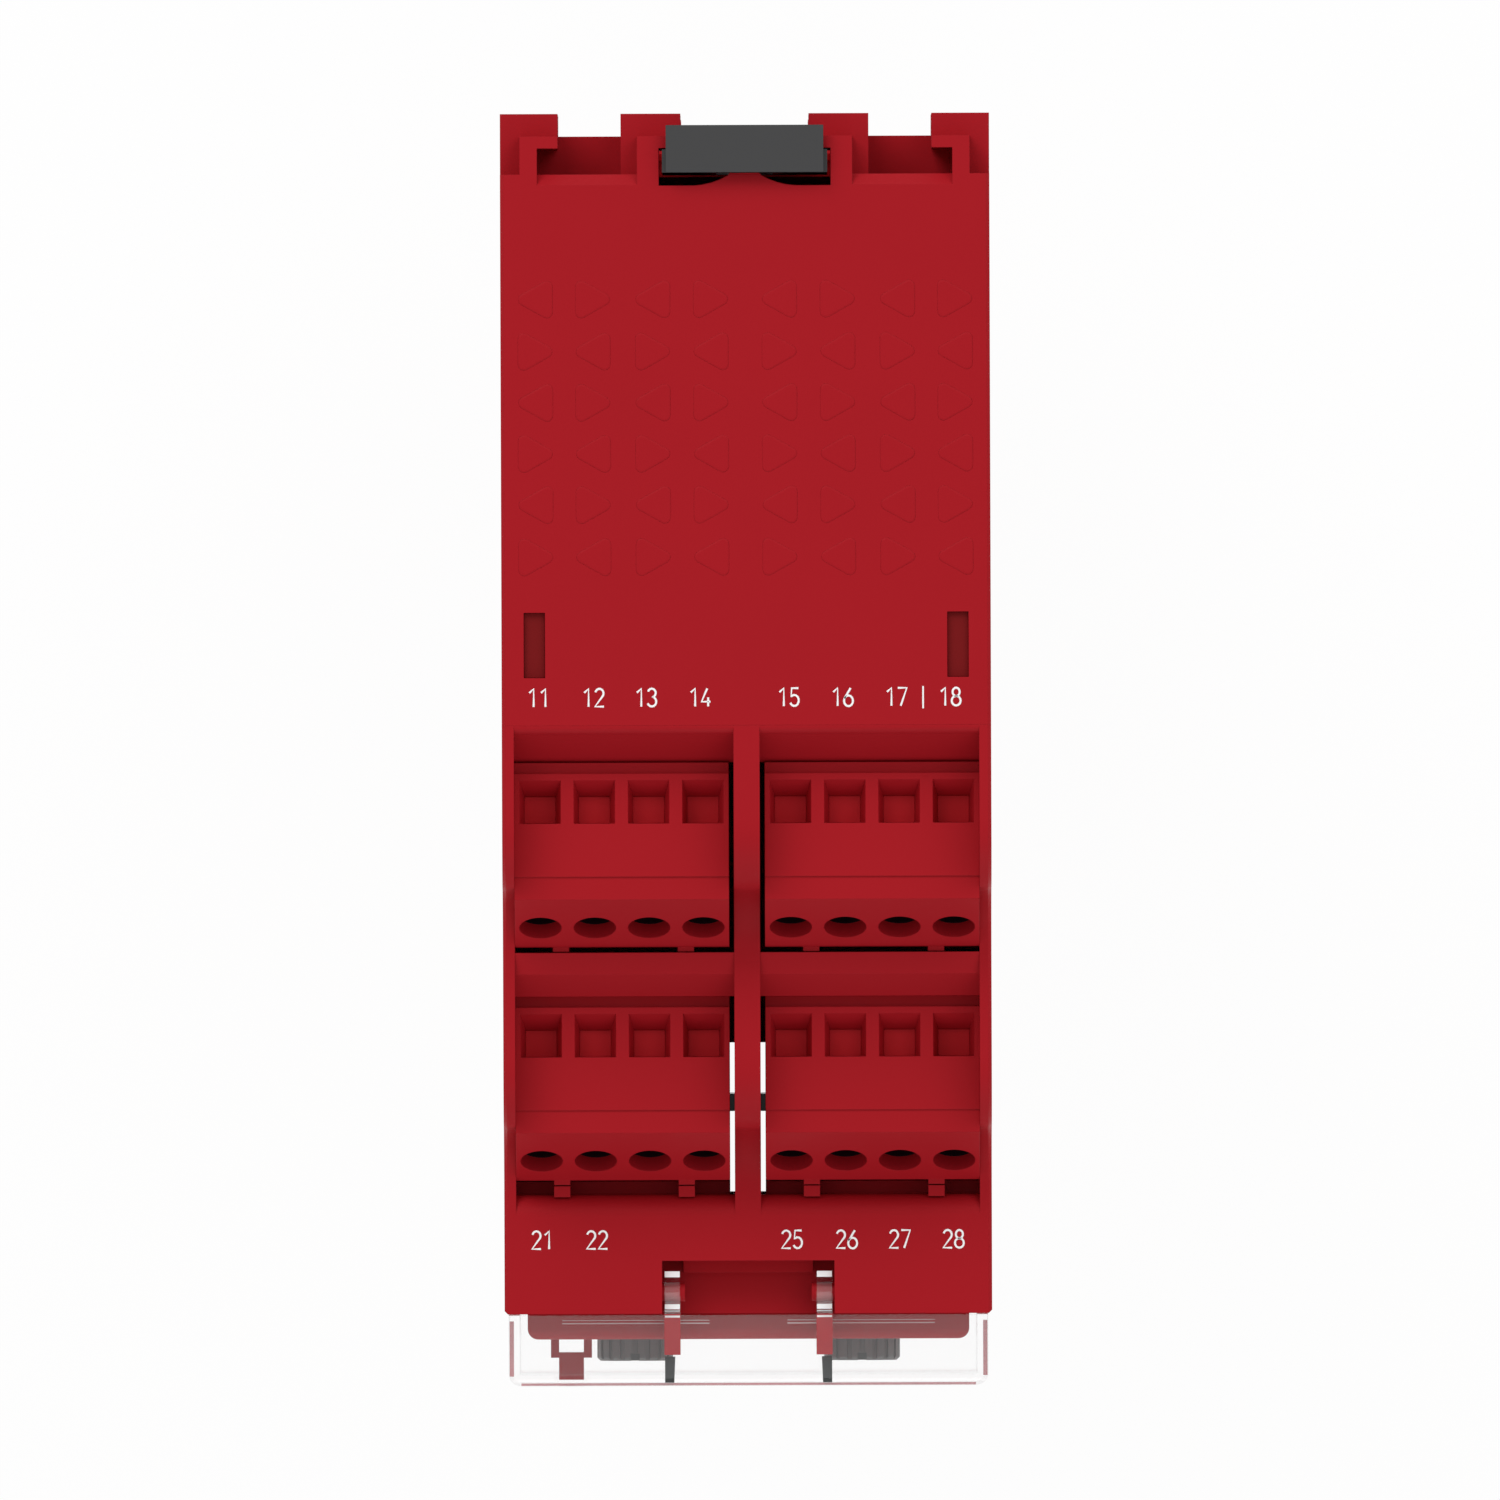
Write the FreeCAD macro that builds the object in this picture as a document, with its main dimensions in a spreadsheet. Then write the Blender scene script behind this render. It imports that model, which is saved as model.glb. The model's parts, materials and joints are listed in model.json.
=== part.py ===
import FreeCAD, Part

# Safety relay for a 35 mm rail, in two 22.5 mm module widths, with pluggable terminals.
#
# The frame: the origin is the middle of the seat that rests on the rail, +Z is up as
# mounted, the front faces -Y and X runs along the rail. Depths named "front" are
# measured forwards from the rail, so the point at depth d lies at y = -d.

import Sketcher
import math
import os

from FreeCAD import Placement, Rotation, Vector

doc = FreeCAD.newDocument("SafetyRelay")
sheet = doc.addObject("Spreadsheet::Sheet", "Dims")
cells_used = 0


class Size:
    """A length that carries its number and the spreadsheet formula it comes from."""

    def __init__(self, value, text):
        self.value = value
        self.text = text

    def joined(self, other, sign, value):
        other_text = other.text if isinstance(other, Size) else repr(float(other))
        return Size(value, f"({self.text} {sign} {other_text})")

    def __add__(self, other):
        return self.joined(other, "+", self.value + number(other))

    def __sub__(self, other):
        return self.joined(other, "-", self.value - number(other))

    def __mul__(self, other):
        return self.joined(other, "*", self.value * number(other))

    def __truediv__(self, other):
        return self.joined(other, "/", self.value / number(other))

    def __neg__(self):
        return Size(-self.value, f"(0 - {self.text})")


def number(size):
    return size.value if isinstance(size, Size) else float(size)


def formula(size):
    return size.text if isinstance(size, Size) else repr(float(size))


def dim(alias, value):
    """Write one driving dimension to the sheet and return it as a Size."""
    global cells_used
    cells_used += 1
    sheet.set(f"A{cells_used}", alias)
    sheet.set(f"B{cells_used}", str(value))
    sheet.setAlias(f"B{cells_used}", alias)
    return Size(float(value), f"Dims.{alias}")


# ---- driving dimensions, mm -------------------------------------------------------

# the housing's outside
width = dim("housing_width", 45.0)
top = dim("top_level", 49.5)
ledge = dim("ledge_level", 37.25)
label = dim("label_level", 25.0)
side_wall = dim("side_wall", 1.1)
top_wall = dim("top_wall", 1.6)
rear_wall = dim("rear_wall", 2.2)
rear_face = dim("rear_face_front", 0.6)
seam = dim("seam_front", 51.3)
hood_front = dim("hood_front", 105.6)
centre_wall = dim("centre_wall", 2.4)
first_dip = dim("first_dip_front", 60.0)
second_dip = dim("second_dip_front", 82.0)
dip_run = dim("dip_run", 13.0)
dip_drop = dim("dip_drop", 12.25)

# the terminal bays
bay_back = dim("bay_back_front", 54.7)
row_pitch = dim("row_pitch", 21.55)
bay_depth = dim("bay_depth", 17.5)
bay_floor = dim("bay_floor_drop", 23.5)
floor_skin = dim("floor_skin", 1.4)
lip_round = dim("lip_round", 0.8)
lip_drop = dim("lip_drop", 5.5)
ledge_slope = dim("ledge_slope_run", 2.0)
label_round = dim("label_round", 1.9)
front_bay_end = dim("front_bay_end", 94.6)
floor_end = dim("front_floor_end", 80.6)
gap_ledge_back = dim("gap_ledge_back", 93.36)
gap_ledge_drop = dim("gap_ledge_drop", 16.3)
rib_back = dim("keying_rib_back", 93.78)
rib_drop = dim("keying_rib_drop", 12.7)

# the plugs
plug_gap = dim("plug_gap", 1.65)
plug_wide = dim("plug_width", 19.75)
plug_deep = dim("plug_depth", 17.0)
plug_high = dim("plug_height", 18.0)
plug_drop = dim("plug_drop", 4.5)
pole_pitch = dim("pole_pitch", 5.0)
pole_span = dim("pole_span", 15.0)
strip_deep = dim("strip_depth", 1.0)
strip_drop = dim("strip_drop", 0.5)
crown_deep = dim("crown_depth", 12.6)
crown_line = dim("crown_line", 10.5)
crown_step = dim("crown_step", 0.15)
bevel_drop = dim("bevel_drop", 8.0)
bore_centre = dim("bore_centre_depth", 15.2)
bore_round = dim("bore_radius", 1.95)
bore_long = dim("bore_length", 10.4)
head_round = dim("screw_head_radius", 1.75)
head_long = dim("screw_head_length", 2.0)
head_sunk = dim("screw_head_sunk", 4.6)
shank_round = dim("screw_shank_radius", 1.2)
slot_wide = dim("screw_slot", 0.6)
funnel_back = dim("funnel_back", 1.6)
funnel_deep = dim("funnel_depth", 4.0)
funnel_wide = dim("funnel_width", 3.8)
funnel_drop = dim("funnel_drop", 2.2)
entry_wide = dim("entry_width", 2.9)
entry_deep = dim("entry_depth", 2.5)
cage_wide = dim("cage_width", 3.8)
cage_deep = dim("cage_depth", 4.2)
cage_high = dim("cage_height", 7.5)
cage_skin = dim("cage_skin", 0.6)
cage_drop = dim("cage_drop", 7.2)
cage_play = dim("cage_play", 0.05)
pin_back = dim("pin_line_depth", 7.8)
pin_wide = dim("pin_width", 1.0)
pin_slot = dim("pin_slot", 1.5)
pin_reach = dim("pin_reach", 6.0)
tab_wide = dim("keying_tab_width", 1.5)
tab_near = dim("keying_tab_near", 3.5)
tab_far = dim("keying_tab_far", 15.0)
tab_high = dim("keying_tab_height", 3.0)
guard_drop = dim("entry_guard_drop", 4.4)
guard_thick = dim("entry_guard_thickness", 0.6)
tab_out = dim("keying_tab_out", 0.42)

# the rail side
rail_lip = dim("rail_lip", 1.0)
recess_half = dim("recess_half_height", 18.2)
seat_half = dim("seat_half_height", 14.8)
block_back = dim("block_back", 3.0)
block_top = dim("block_top", 36.0)
leg_back = dim("leg_back", 5.0)
leg_top = dim("leg_top", 46.0)
guide_back = dim("guide_back", 2.9)
guide_inside = dim("guide_inside", 1.8)
hook_tip = dim("hook_tip", 15.3)
hook_inside = dim("hook_inside", 1.2)

# the rail clip
clip_wide = dim("clip_width", 15.2)
clip_front = dim("clip_front", 0.45)
clip_back = dim("clip_back", 1.68)
clip_tab_wide = dim("clip_tab_width", 14.5)
clip_tab_back = dim("clip_tab_back", 3.9)
clip_tab_low = dim("clip_tab_low", 49.65)
clip_tab_high = dim("clip_tab_thickness", 1.3)
clip_foot = dim("clip_foot_level", 17.8)
catch_wide = dim("catch_width", 10.8)
catch_tip = dim("catch_tip_level", 15.4)
window_low = dim("spring_window_low", 22.0)
window_high = dim("spring_window_high", 43.0)
window_wide = dim("spring_window_width", 5.2)
peg_low = dim("peg_low", 37.3)
peg_high = dim("peg_height", 1.8)
spring_wide = dim("spring_width", 4.2)
spring_strip = dim("spring_strip", 0.45)
spring_deep = dim("spring_depth", 1.1)

# the hinge notch, front panel and cover
notch_half = dim("notch_half_width", 7.95)
notch_back = dim("notch_back_front", 100.7)
notch_floor = dim("notch_floor_level", 19.8)
pivot_front = dim("pivot_front", 103.6)
pivot_level = dim("pivot_level", 22.4)
pivot_round = dim("pivot_radius", 0.87)
pivot_reach = dim("pivot_reach", 2.1)
panel_front = dim("panel_front", 108.0)
panel_half = dim("panel_half_width", 20.4)
panel_top = dim("panel_top_level", 17.4)
panel_bottom = dim("panel_bottom_level", 20.0)
panel_skin = dim("panel_skin", 1.6)
panel_round = dim("panel_corner_radius", 1.0)
cover_front = dim("cover_front", 112.3)
cover_back = dim("cover_back_front", 105.75)
cover_half = dim("cover_half_width", 22.15)
cover_top = dim("cover_top_level", 19.4)
cover_bottom = dim("cover_bottom_level", 22.6)
cover_skin = dim("cover_skin", 1.0)
cover_round = dim("cover_corner_radius", 1.15)
arm_inside = dim("arm_inside", 6.3)
arm_thick = dim("arm_thickness", 1.45)
arm_round = dim("arm_end_radius", 2.25)
arm_front = dim("arm_front", 109.4)
knob_round = dim("knob_radius", 3.5)
knob_x = dim("knob_offset", 10.5)
knob_z = dim("knob_level", 7.0)
knob_out = dim("knob_out_front", 110.05)
knob_play = dim("knob_play", 0.15)
eyelet_x = dim("eyelet_offset", 16.45)
eyelet_z = dim("eyelet_level", 15.0)
eyelet_high = dim("eyelet_height", 1.6)

# boards and what they carry
board_thick = dim("board_thickness", 1.6)
board_play = dim("board_play", 0.05)
side_board_x = dim("side_board_offset", 17.4)
relay_deep = dim("relay_depth", 28.0)
relay_high = dim("relay_height", 40.0)
relay_thick = dim("relay_thickness", 15.8)
relay_back = dim("relay_back_front", 8.0)
relay_apart = dim("relay_half_gap", 2.5)
side_board_back = dim("side_board_back_front", 5.0)
side_board_front = dim("side_board_front_front", 53.0)
side_board_half = dim("side_board_half_height", 45.0)
cross_board_half = dim("cross_board_half_width", 19.9)
display_front = dim("display_board_front", 98.6)
display_half = dim("display_board_half_width", 17.5)
display_high = dim("display_board_half_height", 17.0)
lamp_high = dim("lamp_height", 1.25)

doc.recompute()


# ---- ways of building -------------------------------------------------------------

class Maker:
    """One PartDesign body and short calls that add features to it."""

    def __init__(self, label):
        self.body = doc.addObject("PartDesign::Body", label)
        self.body.Label = label
        if hasattr(self.body, "AllowCompound"):
            self.body.AllowCompound = True
        self.count = 0

    def named(self, word):
        self.count += 1
        return f"{self.body.Name}_{word}_{self.count}"

    def feature(self, kind, word):
        """A new feature; only the finished body is refined, which keeps the build quick."""
        made = self.body.newObject(f"PartDesign::{kind}", self.named(word))
        made.Refine = False
        return made

    def finished(self):
        self.body.Tip.Refine = True
        return self.body

    def plane(self, role):
        for feature in self.body.Origin.OriginFeatures:
            if feature.Role == role:
                return feature
        raise ValueError(role)

    def sketch(self, role, offset, corners, arcs=None):
        """A closed outline on an origin plane, moved along its normal by offset.

        corners holds (u, v) sizes. arcs gives, for the side that starts at a corner,
        its radius and whether it runs anticlockwise.
        """
        return self.sketch_of(role, offset, [(corners, arcs or {})])

    def sketch_of(self, role, offset, outlines):
        """One sketch that holds several closed outlines."""
        made = self.body.newObject("Sketcher::SketchObject", self.named("sketch"))
        made.AttachmentSupport = [(self.plane(role), "")]
        made.MapMode = "FlatFace"
        made.AttachmentOffset = Placement(Vector(0, 0, number(offset)), Rotation())
        made.setExpression("AttachmentOffset.Base.z", formula(offset))
        lines, rules = [], []
        for corners, arcs in outlines:
            more_lines, more_rules = closed_outline(len(lines), corners, arcs)
            lines += more_lines
            rules += more_rules
        made.addGeometry(lines, False)
        made.addConstraint([rule for rule, _ in rules])
        for which, (_, text) in enumerate(rules):
            if text:
                made.setExpression(f"Constraints[{which}]", text)
        return made

    def rect(self, role, offset, low, high):
        return self.sketch(role, offset, rectangle(low, high))

    def rects(self, role, offset, boxes):
        return self.sketch_of(role, offset, [(rectangle(low, high), {}) for low, high in boxes])

    def pad(self, sketch, length):
        made = self.feature("Pad", "pad")
        made.Profile = sketch
        made.Length = number(length)
        made.setExpression("Length", formula(length))
        return made

    def pocket(self, sketch, length):
        """Cut along the sketch's normal."""
        made = self.feature("Pocket", "pocket")
        made.Profile = sketch
        made.Length = number(length)
        made.setExpression("Length", formula(length))
        made.Reversed = True
        return made

    def revolve(self, sketch, axis_role):
        made = self.feature("Revolution", "revolution")
        made.Profile = sketch
        made.ReferenceAxis = (self.plane(axis_role), [""])
        made.Angle = 360.0
        return made

    def block(self, kind, low, high):
        """An Additive or Subtractive box between two corners."""
        made = self.feature(f"{kind}Box", "box")
        for name, a, b in zip(("Length", "Width", "Height"), low, high):
            made.setExpression(name, f"({formula(b)} - {formula(a)})")
        for name, a in zip("xyz", low):
            made.setExpression(f"Placement.Base.{name}", formula(a))
        return made

    def rod(self, kind, base, radius, length, turn):
        """An Additive or Subtractive cylinder that starts at base and runs along turn's Z."""
        made = self.feature(f"{kind}Cylinder", "cylinder")
        made.Placement = Placement(Vector(*[number(part) for part in base]), turn)
        made.setExpression("Radius", formula(radius))
        made.setExpression("Height", formula(length))
        for name, part in zip("xyz", base):
            made.setExpression(f"Placement.Base.{name}", formula(part))
        return made

    def loft(self, sketches):
        made = self.feature("SubtractiveLoft", "loft")
        made.Profile = sketches[0]
        made.Sections = sketches[1:]
        made.Ruled = True
        return made


def rectangle(low, high):
    return [(low[0], low[1]), (high[0], low[1]), (high[0], high[1]), (low[0], high[1])]


def closed_outline(first, corners, arcs):
    """Lines and arcs round the corners, and the constraints that hold them there.

    The geometry is numbered from first on. Each constraint comes with its formula.
    """
    points = [Vector(number(u), number(v), 0) for u, v in corners]
    lines = []
    for i, start in enumerate(points):
        end = points[(i + 1) % len(points)]
        if i in arcs:
            lines.append(arc_between(start, end, number(arcs[i][0]), arcs[i][1]))
        else:
            lines.append(Part.LineSegment(start, end))
    ends = [(1, 2) if i not in arcs or arcs[i][1] else (2, 1) for i in range(len(points))]
    rules = []
    for i in range(len(points)):
        following = (i + 1) % len(points)
        rules.append((Sketcher.Constraint("Coincident", first + i, ends[i][1],
                                          first + following, ends[following][0]), None))
    for i, (u, v) in enumerate(corners):
        rules.append(pinned(first + i, ends[i][0], "DistanceX", u))
        rules.append(pinned(first + i, ends[i][0], "DistanceY", v))
    for i, (radius, _) in arcs.items():
        rules.append((Sketcher.Constraint("Radius", first + i, number(radius)), formula(radius)))
    return lines, rules


def arc_between(start, end, radius, anticlockwise):
    """The short arc of a given radius from start to end."""
    chord = end - start
    middle = (start + end) * 0.5
    rise = math.sqrt(max(radius ** 2 - (chord.Length / 2) ** 2, 0))
    side = Vector(-chord.y, chord.x, 0).normalize()
    centre = middle + side * (rise if anticlockwise else -rise)
    first, second = (start, end) if anticlockwise else (end, start)
    angles = [math.atan2(p.y - centre.y, p.x - centre.x) for p in (first, second)]
    if angles[1] < angles[0]:
        angles[1] += 2 * math.pi
    circle = Part.Circle(centre, Vector(0, 0, 1), radius)
    return Part.ArcOfCircle(circle, *angles)


def pinned(geometry, end, kind, size):
    """A constraint that holds one coordinate of a point, with its formula."""
    value = number(size)
    if abs(value) < 1e-9:
        axis = -2 if kind == "DistanceX" else -1
        return Sketcher.Constraint("PointOnObject", geometry, end, axis), None
    if value > 0:
        return Sketcher.Constraint(kind, -1, 1, geometry, end, value), formula(size)
    return Sketcher.Constraint(kind, geometry, end, -1, 1, -value), f"(0 - {formula(size)})"


def flipped(corners, arcs=None):
    """The same outline turned upside down: v changes sign and arcs turn the other way."""
    turned = {i: (radius, not way) for i, (radius, way) in (arcs or {}).items()}
    return [(u, -v) for u, v in corners], turned


def both_halves(corners, arcs=None):
    """Close an outline's upper half with its mirror image below."""
    count = len(corners)
    outline = corners + [(u, -v) for u, v in reversed(corners)]
    turns = dict(arcs or {})
    for i, arc in (arcs or {}).items():
        turns[2 * count - 2 - i] = arc
    return outline, turns


def edges_where(shape, test):
    """Names of the edges whose two ends both pass a test."""
    names = []
    for i, edge in enumerate(shape.Edges, 1):
        if all(test(vertex.Point) for vertex in edge.Vertexes):
            names.append(f"Edge{i}")
    return names


def near(a, b):
    return abs(a - number(b)) < 1e-4


ALONG_BACK = Rotation(Vector(1, 0, 0), -90)
ALONG_RIGHT = Rotation(Vector(0, 1, 0), 90)
ALONG_LEFT = Rotation(Vector(0, 1, 0), -90)
PAST = 1.0

half = width / 2
inner_half = half - side_wall
rear_floor = top - bay_floor
front_floor = ledge - bay_floor
front_bay = bay_back + row_pitch
bay_inside = centre_wall / 2

# the legs, guides and clip channel across the back, as distances from the middle
channel_half = dim("channel_half_width", 7.9)
inner_guide_out = dim("inner_guide_outside", 9.9)
inner_leg_in = dim("inner_leg_inside", 5.9)
inner_leg_out = dim("inner_leg_outside", 11.4)
outer_leg_in = dim("outer_leg_inside", 17.2)
lower_leg_in = dim("lower_outer_leg_inside", 17.5)
outer_guide_in = dim("outer_guide_inside", 19.1)
outer_guide_out = dim("outer_guide_outside", 20.7)
well_back = dim("well_front", 1.65)
well_inside = dim("well_inside", 1.5)
well_turn = dim("well_turn", 4.6)
edge_bevel = dim("rear_edge_bevel", 1.0)
window_back = dim("window_back_front", 40.9)
window_front = dim("window_front_front", 46.9)
window_in = dim("window_inside", 18.5)
window_out = dim("window_outside", 20.45)
edge_ease = dim("outer_edge_chamfer", 0.3)


def ease_edges(maker, base, names):
    """Take the sharpness off a housing's outer edges."""
    made = maker.feature("Chamfer", "chamfer")
    made.Base = (base, names)
    made.Size = number(edge_ease)
    made.setExpression("Size", formula(edge_ease))
    return made


def round_edges(maker, base, names, radius):
    made = maker.feature("Fillet", "fillet")
    made.Base = (base, names)
    made.Radius = number(radius)
    made.setExpression("Radius", formula(radius))
    return made


def rear_housing():
    """The box behind the seam: rail seat, legs, guides, hooks and snap windows."""
    maker = Maker("rear_housing")
    maker.pad(maker.rect("XZ_Plane", rear_face, (-half, -top), (half, top)), seam - rear_face)
    low, high = (-inner_half, -(top - top_wall)), (inner_half, top - top_wall)
    inside_back = rear_face + rear_wall
    maker.pocket(maker.rect("XZ_Plane", inside_back, low, high), seam - inside_back + PAST)
    maker.block("Additive", (-half, -rear_face, -seat_half), (half, 0.0, seat_half))
    for side in (1, -1):
        for level in (1, -1):
            back_profiles(maker, side, level)
            maker.block("Subtractive",
                        (window_in if side > 0 else -window_out, -window_front,
                         (top - top_wall - PAST) if level > 0 else -(top + PAST)),
                        (window_out if side > 0 else -window_in, -window_back,
                         (top + PAST) if level > 0 else -(top - top_wall - PAST)))
        for inside, outside_x in ((inner_leg_in, inner_leg_out), (lower_leg_in, half)):
            hook(maker, side, inside, outside_x)
    clip_wells(maker)
    maker.block("Additive", (-(well_inside - 0.1), -(rear_face + 0.2), peg_low),
                (well_inside - 0.1, clip_back - 0.1, peg_low + peg_high))
    sharp = maker.body.Tip
    doc.recompute()
    names = edges_where(sharp.Shape, lambda p: near(abs(p.x), half) and near(abs(p.z), top))
    ease_edges(maker, sharp, [name for name in names if runs_forward(sharp.Shape.getElement(name))])
    return maker.finished()


def span(side, inside, outside_x):
    """The low and high X of something between two distances from the middle."""
    return (inside, outside_x) if side > 0 else (-outside_x, -inside)


def back_profiles(maker, side, level):
    """Block, legs and L-shaped guides of one quarter of the back."""
    def raised(corners, high):
        outline = [(x * side, y) for x, y in corners]
        start = recess_half if level > 0 else -high
        maker.pad(maker.sketch("XY_Plane", start, outline), high - recess_half)

    front = -rear_face
    block_in = channel_half if level > 0 else 0.0
    leg_in = outer_leg_in if level > 0 else lower_leg_in
    raised([(block_in, front), (half, front), (half, block_back), (block_in, block_back)], block_top)
    raised([(leg_in, leg_back), (half, leg_back), (half, front), (outer_guide_out, front),
            (outer_guide_out, guide_inside), (leg_in, guide_inside)], leg_top)
    raised([(leg_in, guide_back), (outer_guide_out, guide_back), (outer_guide_out, front),
            (outer_guide_in, front), (outer_guide_in, guide_inside), (leg_in, guide_inside)], top)
    raised([(inner_leg_in, leg_back), (inner_leg_out, leg_back), (inner_leg_out, front),
            (inner_guide_out, front), (inner_guide_out, guide_inside), (inner_leg_in, guide_inside)],
           leg_top)
    raised([(inner_leg_in, guide_back), (inner_guide_out, guide_back), (inner_guide_out, front),
            (channel_half, front), (channel_half, guide_inside), (inner_leg_in, guide_inside)], top)
    low, high = span(side, inner_guide_out, outer_guide_in)
    edge = [(front + PAST, (top + PAST) * level), (front - edge_bevel, (top + PAST) * level),
            (front - edge_bevel, top * level), (front, (top - edge_bevel) * level),
            (front + PAST, (top - edge_bevel) * level)]
    maker.pocket(maker.sketch("YZ_Plane", low, edge), high - low)


def hook(maker, side, inside, outside_x):
    """A fixed nose that goes behind the rail's lower lip."""
    low, high = span(side, inside, outside_x)
    lead = 0.6
    outline = [(hook_inside, -recess_half - 0.2), (hook_inside, -hook_tip - lead),
               (hook_inside + lead, -hook_tip), (block_back, -hook_tip), (block_back, -recess_half - 0.2)]
    maker.pad(maker.sketch("YZ_Plane", low, outline), high - low)


def clip_wells(maker):
    """Two wells in front of the clip, with a curved front edge towards the middle."""
    sweep = 7.0
    for side in (1, -1):
        outline = [(channel_half * side, -rear_face + 0.1), (channel_half * side, -well_back),
                   (well_turn * side, -well_back), (well_inside * side, -(rear_face + 0.1)),
                   (well_inside * side, -rear_face + 0.1)]
        turn = {2: (sweep, side < 0)}
        maker.pocket(maker.sketch("XY_Plane", recess_half, outline, turn), top - recess_half + PAST)


# ---- front housing ----------------------------------------------------------------

rim_long = dim("rim_length", 3.0)
rim_play = dim("rim_play", 0.06)
cavity_half = dim("cavity_half_width", 20.1)
cavity_top = dim("cavity_top_level", 46.6)
bay_skin = dim("bay_skin", 1.25)
ledge_fall = dim("ledge_fall", 0.65)
ledge_drop = dim("ledge_drop", 3.5)
latch_in = dim("latch_inside", 18.1)
latch_out = dim("latch_outside", 20.85)
latch_thick = dim("latch_thickness", 1.3)
latch_back = dim("latch_back_front", 38.9)
latch_rise = dim("latch_rise", 1.1)
header_back = dim("header_back", 1.3)
header_front = dim("header_front", 9.0)
header_half = dim("header_half_width", 9.6)
header_high = dim("header_height", 7.0)
header_drop = dim("header_drop", 0.1)
header_play = dim("header_play", 0.1)
light_wide = dim("light_width", 2.4)
light_high = dim("light_height", 1.4)
light_top = dim("light_row_upper", -4.0)
light_low = dim("light_row_lower", -9.0)
light_first = dim("light_first", -8.7)
light_span = dim("light_span", 15.0)
plug_x = plug_gap + plug_wide / 2
poles = [pole_pitch * place - pole_span / 2 for place in range(4)]
light_places = [(light_first + light_span * (column / 3), row)
                for row in (light_top, light_low) for column in range(4)]


def side_outline():
    """Upper half of the side view, with the two S-shaped dips of the walls."""
    radius = (dip_run * dip_run + dip_drop * dip_drop) / (dip_drop * 4)
    corners = [(-seam, top)]
    arcs = {}
    for start, high in ((first_dip, top), (second_dip, ledge)):
        arcs[len(corners)] = (radius, True)
        arcs[len(corners) + 1] = (radius, False)
        corners += [(-start, high), (-(start + dip_run / 2), high - dip_drop / 2),
                    (-(start + dip_run), high - dip_drop)]
    corners.append((-hood_front, label))
    return corners, arcs


def bay_outline():
    """What is open above the two terminal rows on one side of the centre wall."""
    sky = top + PAST
    rear_end = bay_back + bay_depth
    corners = [(-seam, sky), (-seam, top), (-(seam + lip_round), top - lip_round),
               (-bay_back, top - lip_drop), (-bay_back, rear_floor), (-rear_end, rear_floor),
               (-rear_end, ledge), (-(rear_end + ledge_slope), ledge - ledge_fall),
               (-front_bay, ledge - ledge_drop), (-front_bay, front_floor),
               (-front_bay_end, front_floor), (-front_bay_end, label - label_round),
               (-(front_bay_end + label_round), label), (-(front_bay_end + label_round), sky)]
    return corners, {1: (lip_round, True), 11: (label_round, True)}


def cavity_outline():
    """Upper half of the space inside the front housing."""
    rear_end = bay_back + bay_depth + bay_skin
    under_rear = rear_floor - floor_skin
    under_front = front_floor - floor_skin
    return [(-(seam - rim_long - PAST), cavity_top), (-(seam + PAST), cavity_top),
            (-(bay_back - bay_skin), top - lip_drop), (-(bay_back - bay_skin), under_rear),
            (-rear_end, under_rear), (-rear_end, ledge - bay_skin - 0.4),
            (-(rear_end + 0.6), ledge - bay_skin - 0.6), (-(front_bay - bay_skin), ledge - ledge_drop - 0.3),
            (-(front_bay - bay_skin), under_front), (-(front_bay_end + bay_skin), under_front),
            (-(front_bay_end + bay_skin), label - floor_skin),
            (-(hood_front - panel_skin), label - floor_skin)]


def front_housing():
    """The part in front of the seam: terminal bays, label faces, hinge notch and panel."""
    maker = Maker("front_housing")
    outline, arcs = both_halves(*side_outline())
    maker.pad(maker.sketch("YZ_Plane", -half, outline, arcs), width)
    rim_half = inner_half - rim_play
    rim_top = top - top_wall - rim_play
    maker.pad(maker.rect("XZ_Plane", seam - rim_long, (-rim_half, -rim_top), (rim_half, rim_top)), rim_long)
    outline, arcs = both_halves(cavity_outline())
    maker.pocket(maker.sketch("YZ_Plane", -cavity_half, outline, arcs), cavity_half * 2)
    for side in (1, -1):
        terminal_bays(maker, side)
        for level in (1, -1):
            latch_arm(maker, side, level, rim_top)
    for level in (1, -1):
        gap_ledge(maker, level)
    hinge_notch(maker)
    front_panel(maker)
    seal_eyelet(maker)
    sharp = maker.body.Tip
    doc.recompute()
    names = edges_where(sharp.Shape, lambda p: near(abs(p.x), half) and p.y < -number(seam) + 1e-4)
    sides = [name for name in names if not along_seam(sharp.Shape.getElement(name))]
    eased = ease_edges(maker, sharp, sides)
    doc.recompute()
    corners = edges_where(eased.Shape, lambda p: near(abs(p.x), panel_half) and near(p.y, -panel_front))
    round_edges(maker, eased, corners, panel_round)
    return maker.finished()


def runs_forward(edge):
    return not near(edge.Vertexes[0].Y, edge.Vertexes[-1].Y)


def along_seam(edge):
    """The edges where the two housings meet stay sharp."""
    return all(near(vertex.Y, -seam) for vertex in edge.Vertexes)


def terminal_bays(maker, side):
    """Both rows of one side, above and below, with the floors' openings."""
    low, high = span(side, bay_inside, inner_half)
    for turn in (lambda c, a: (c, a), flipped):
        outline, arcs = turn(*bay_outline())
        maker.pocket(maker.sketch("YZ_Plane", low, outline, arcs), high - low)
    maker.block("Subtractive", (low, -front_bay_end, -(front_floor + 0.1)),
                (high, -floor_end, front_floor + 0.1))
    low, high = span(side, plug_x - header_half - header_play, plug_x + header_half + header_play)
    for row, floor in ((bay_back, rear_floor), (front_bay, front_floor)):
        maker.block("Subtractive", (low, -(row + header_front + header_play), -(floor + 0.1)),
                    (high, -(row + header_back - header_play), floor + 0.1))


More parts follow.
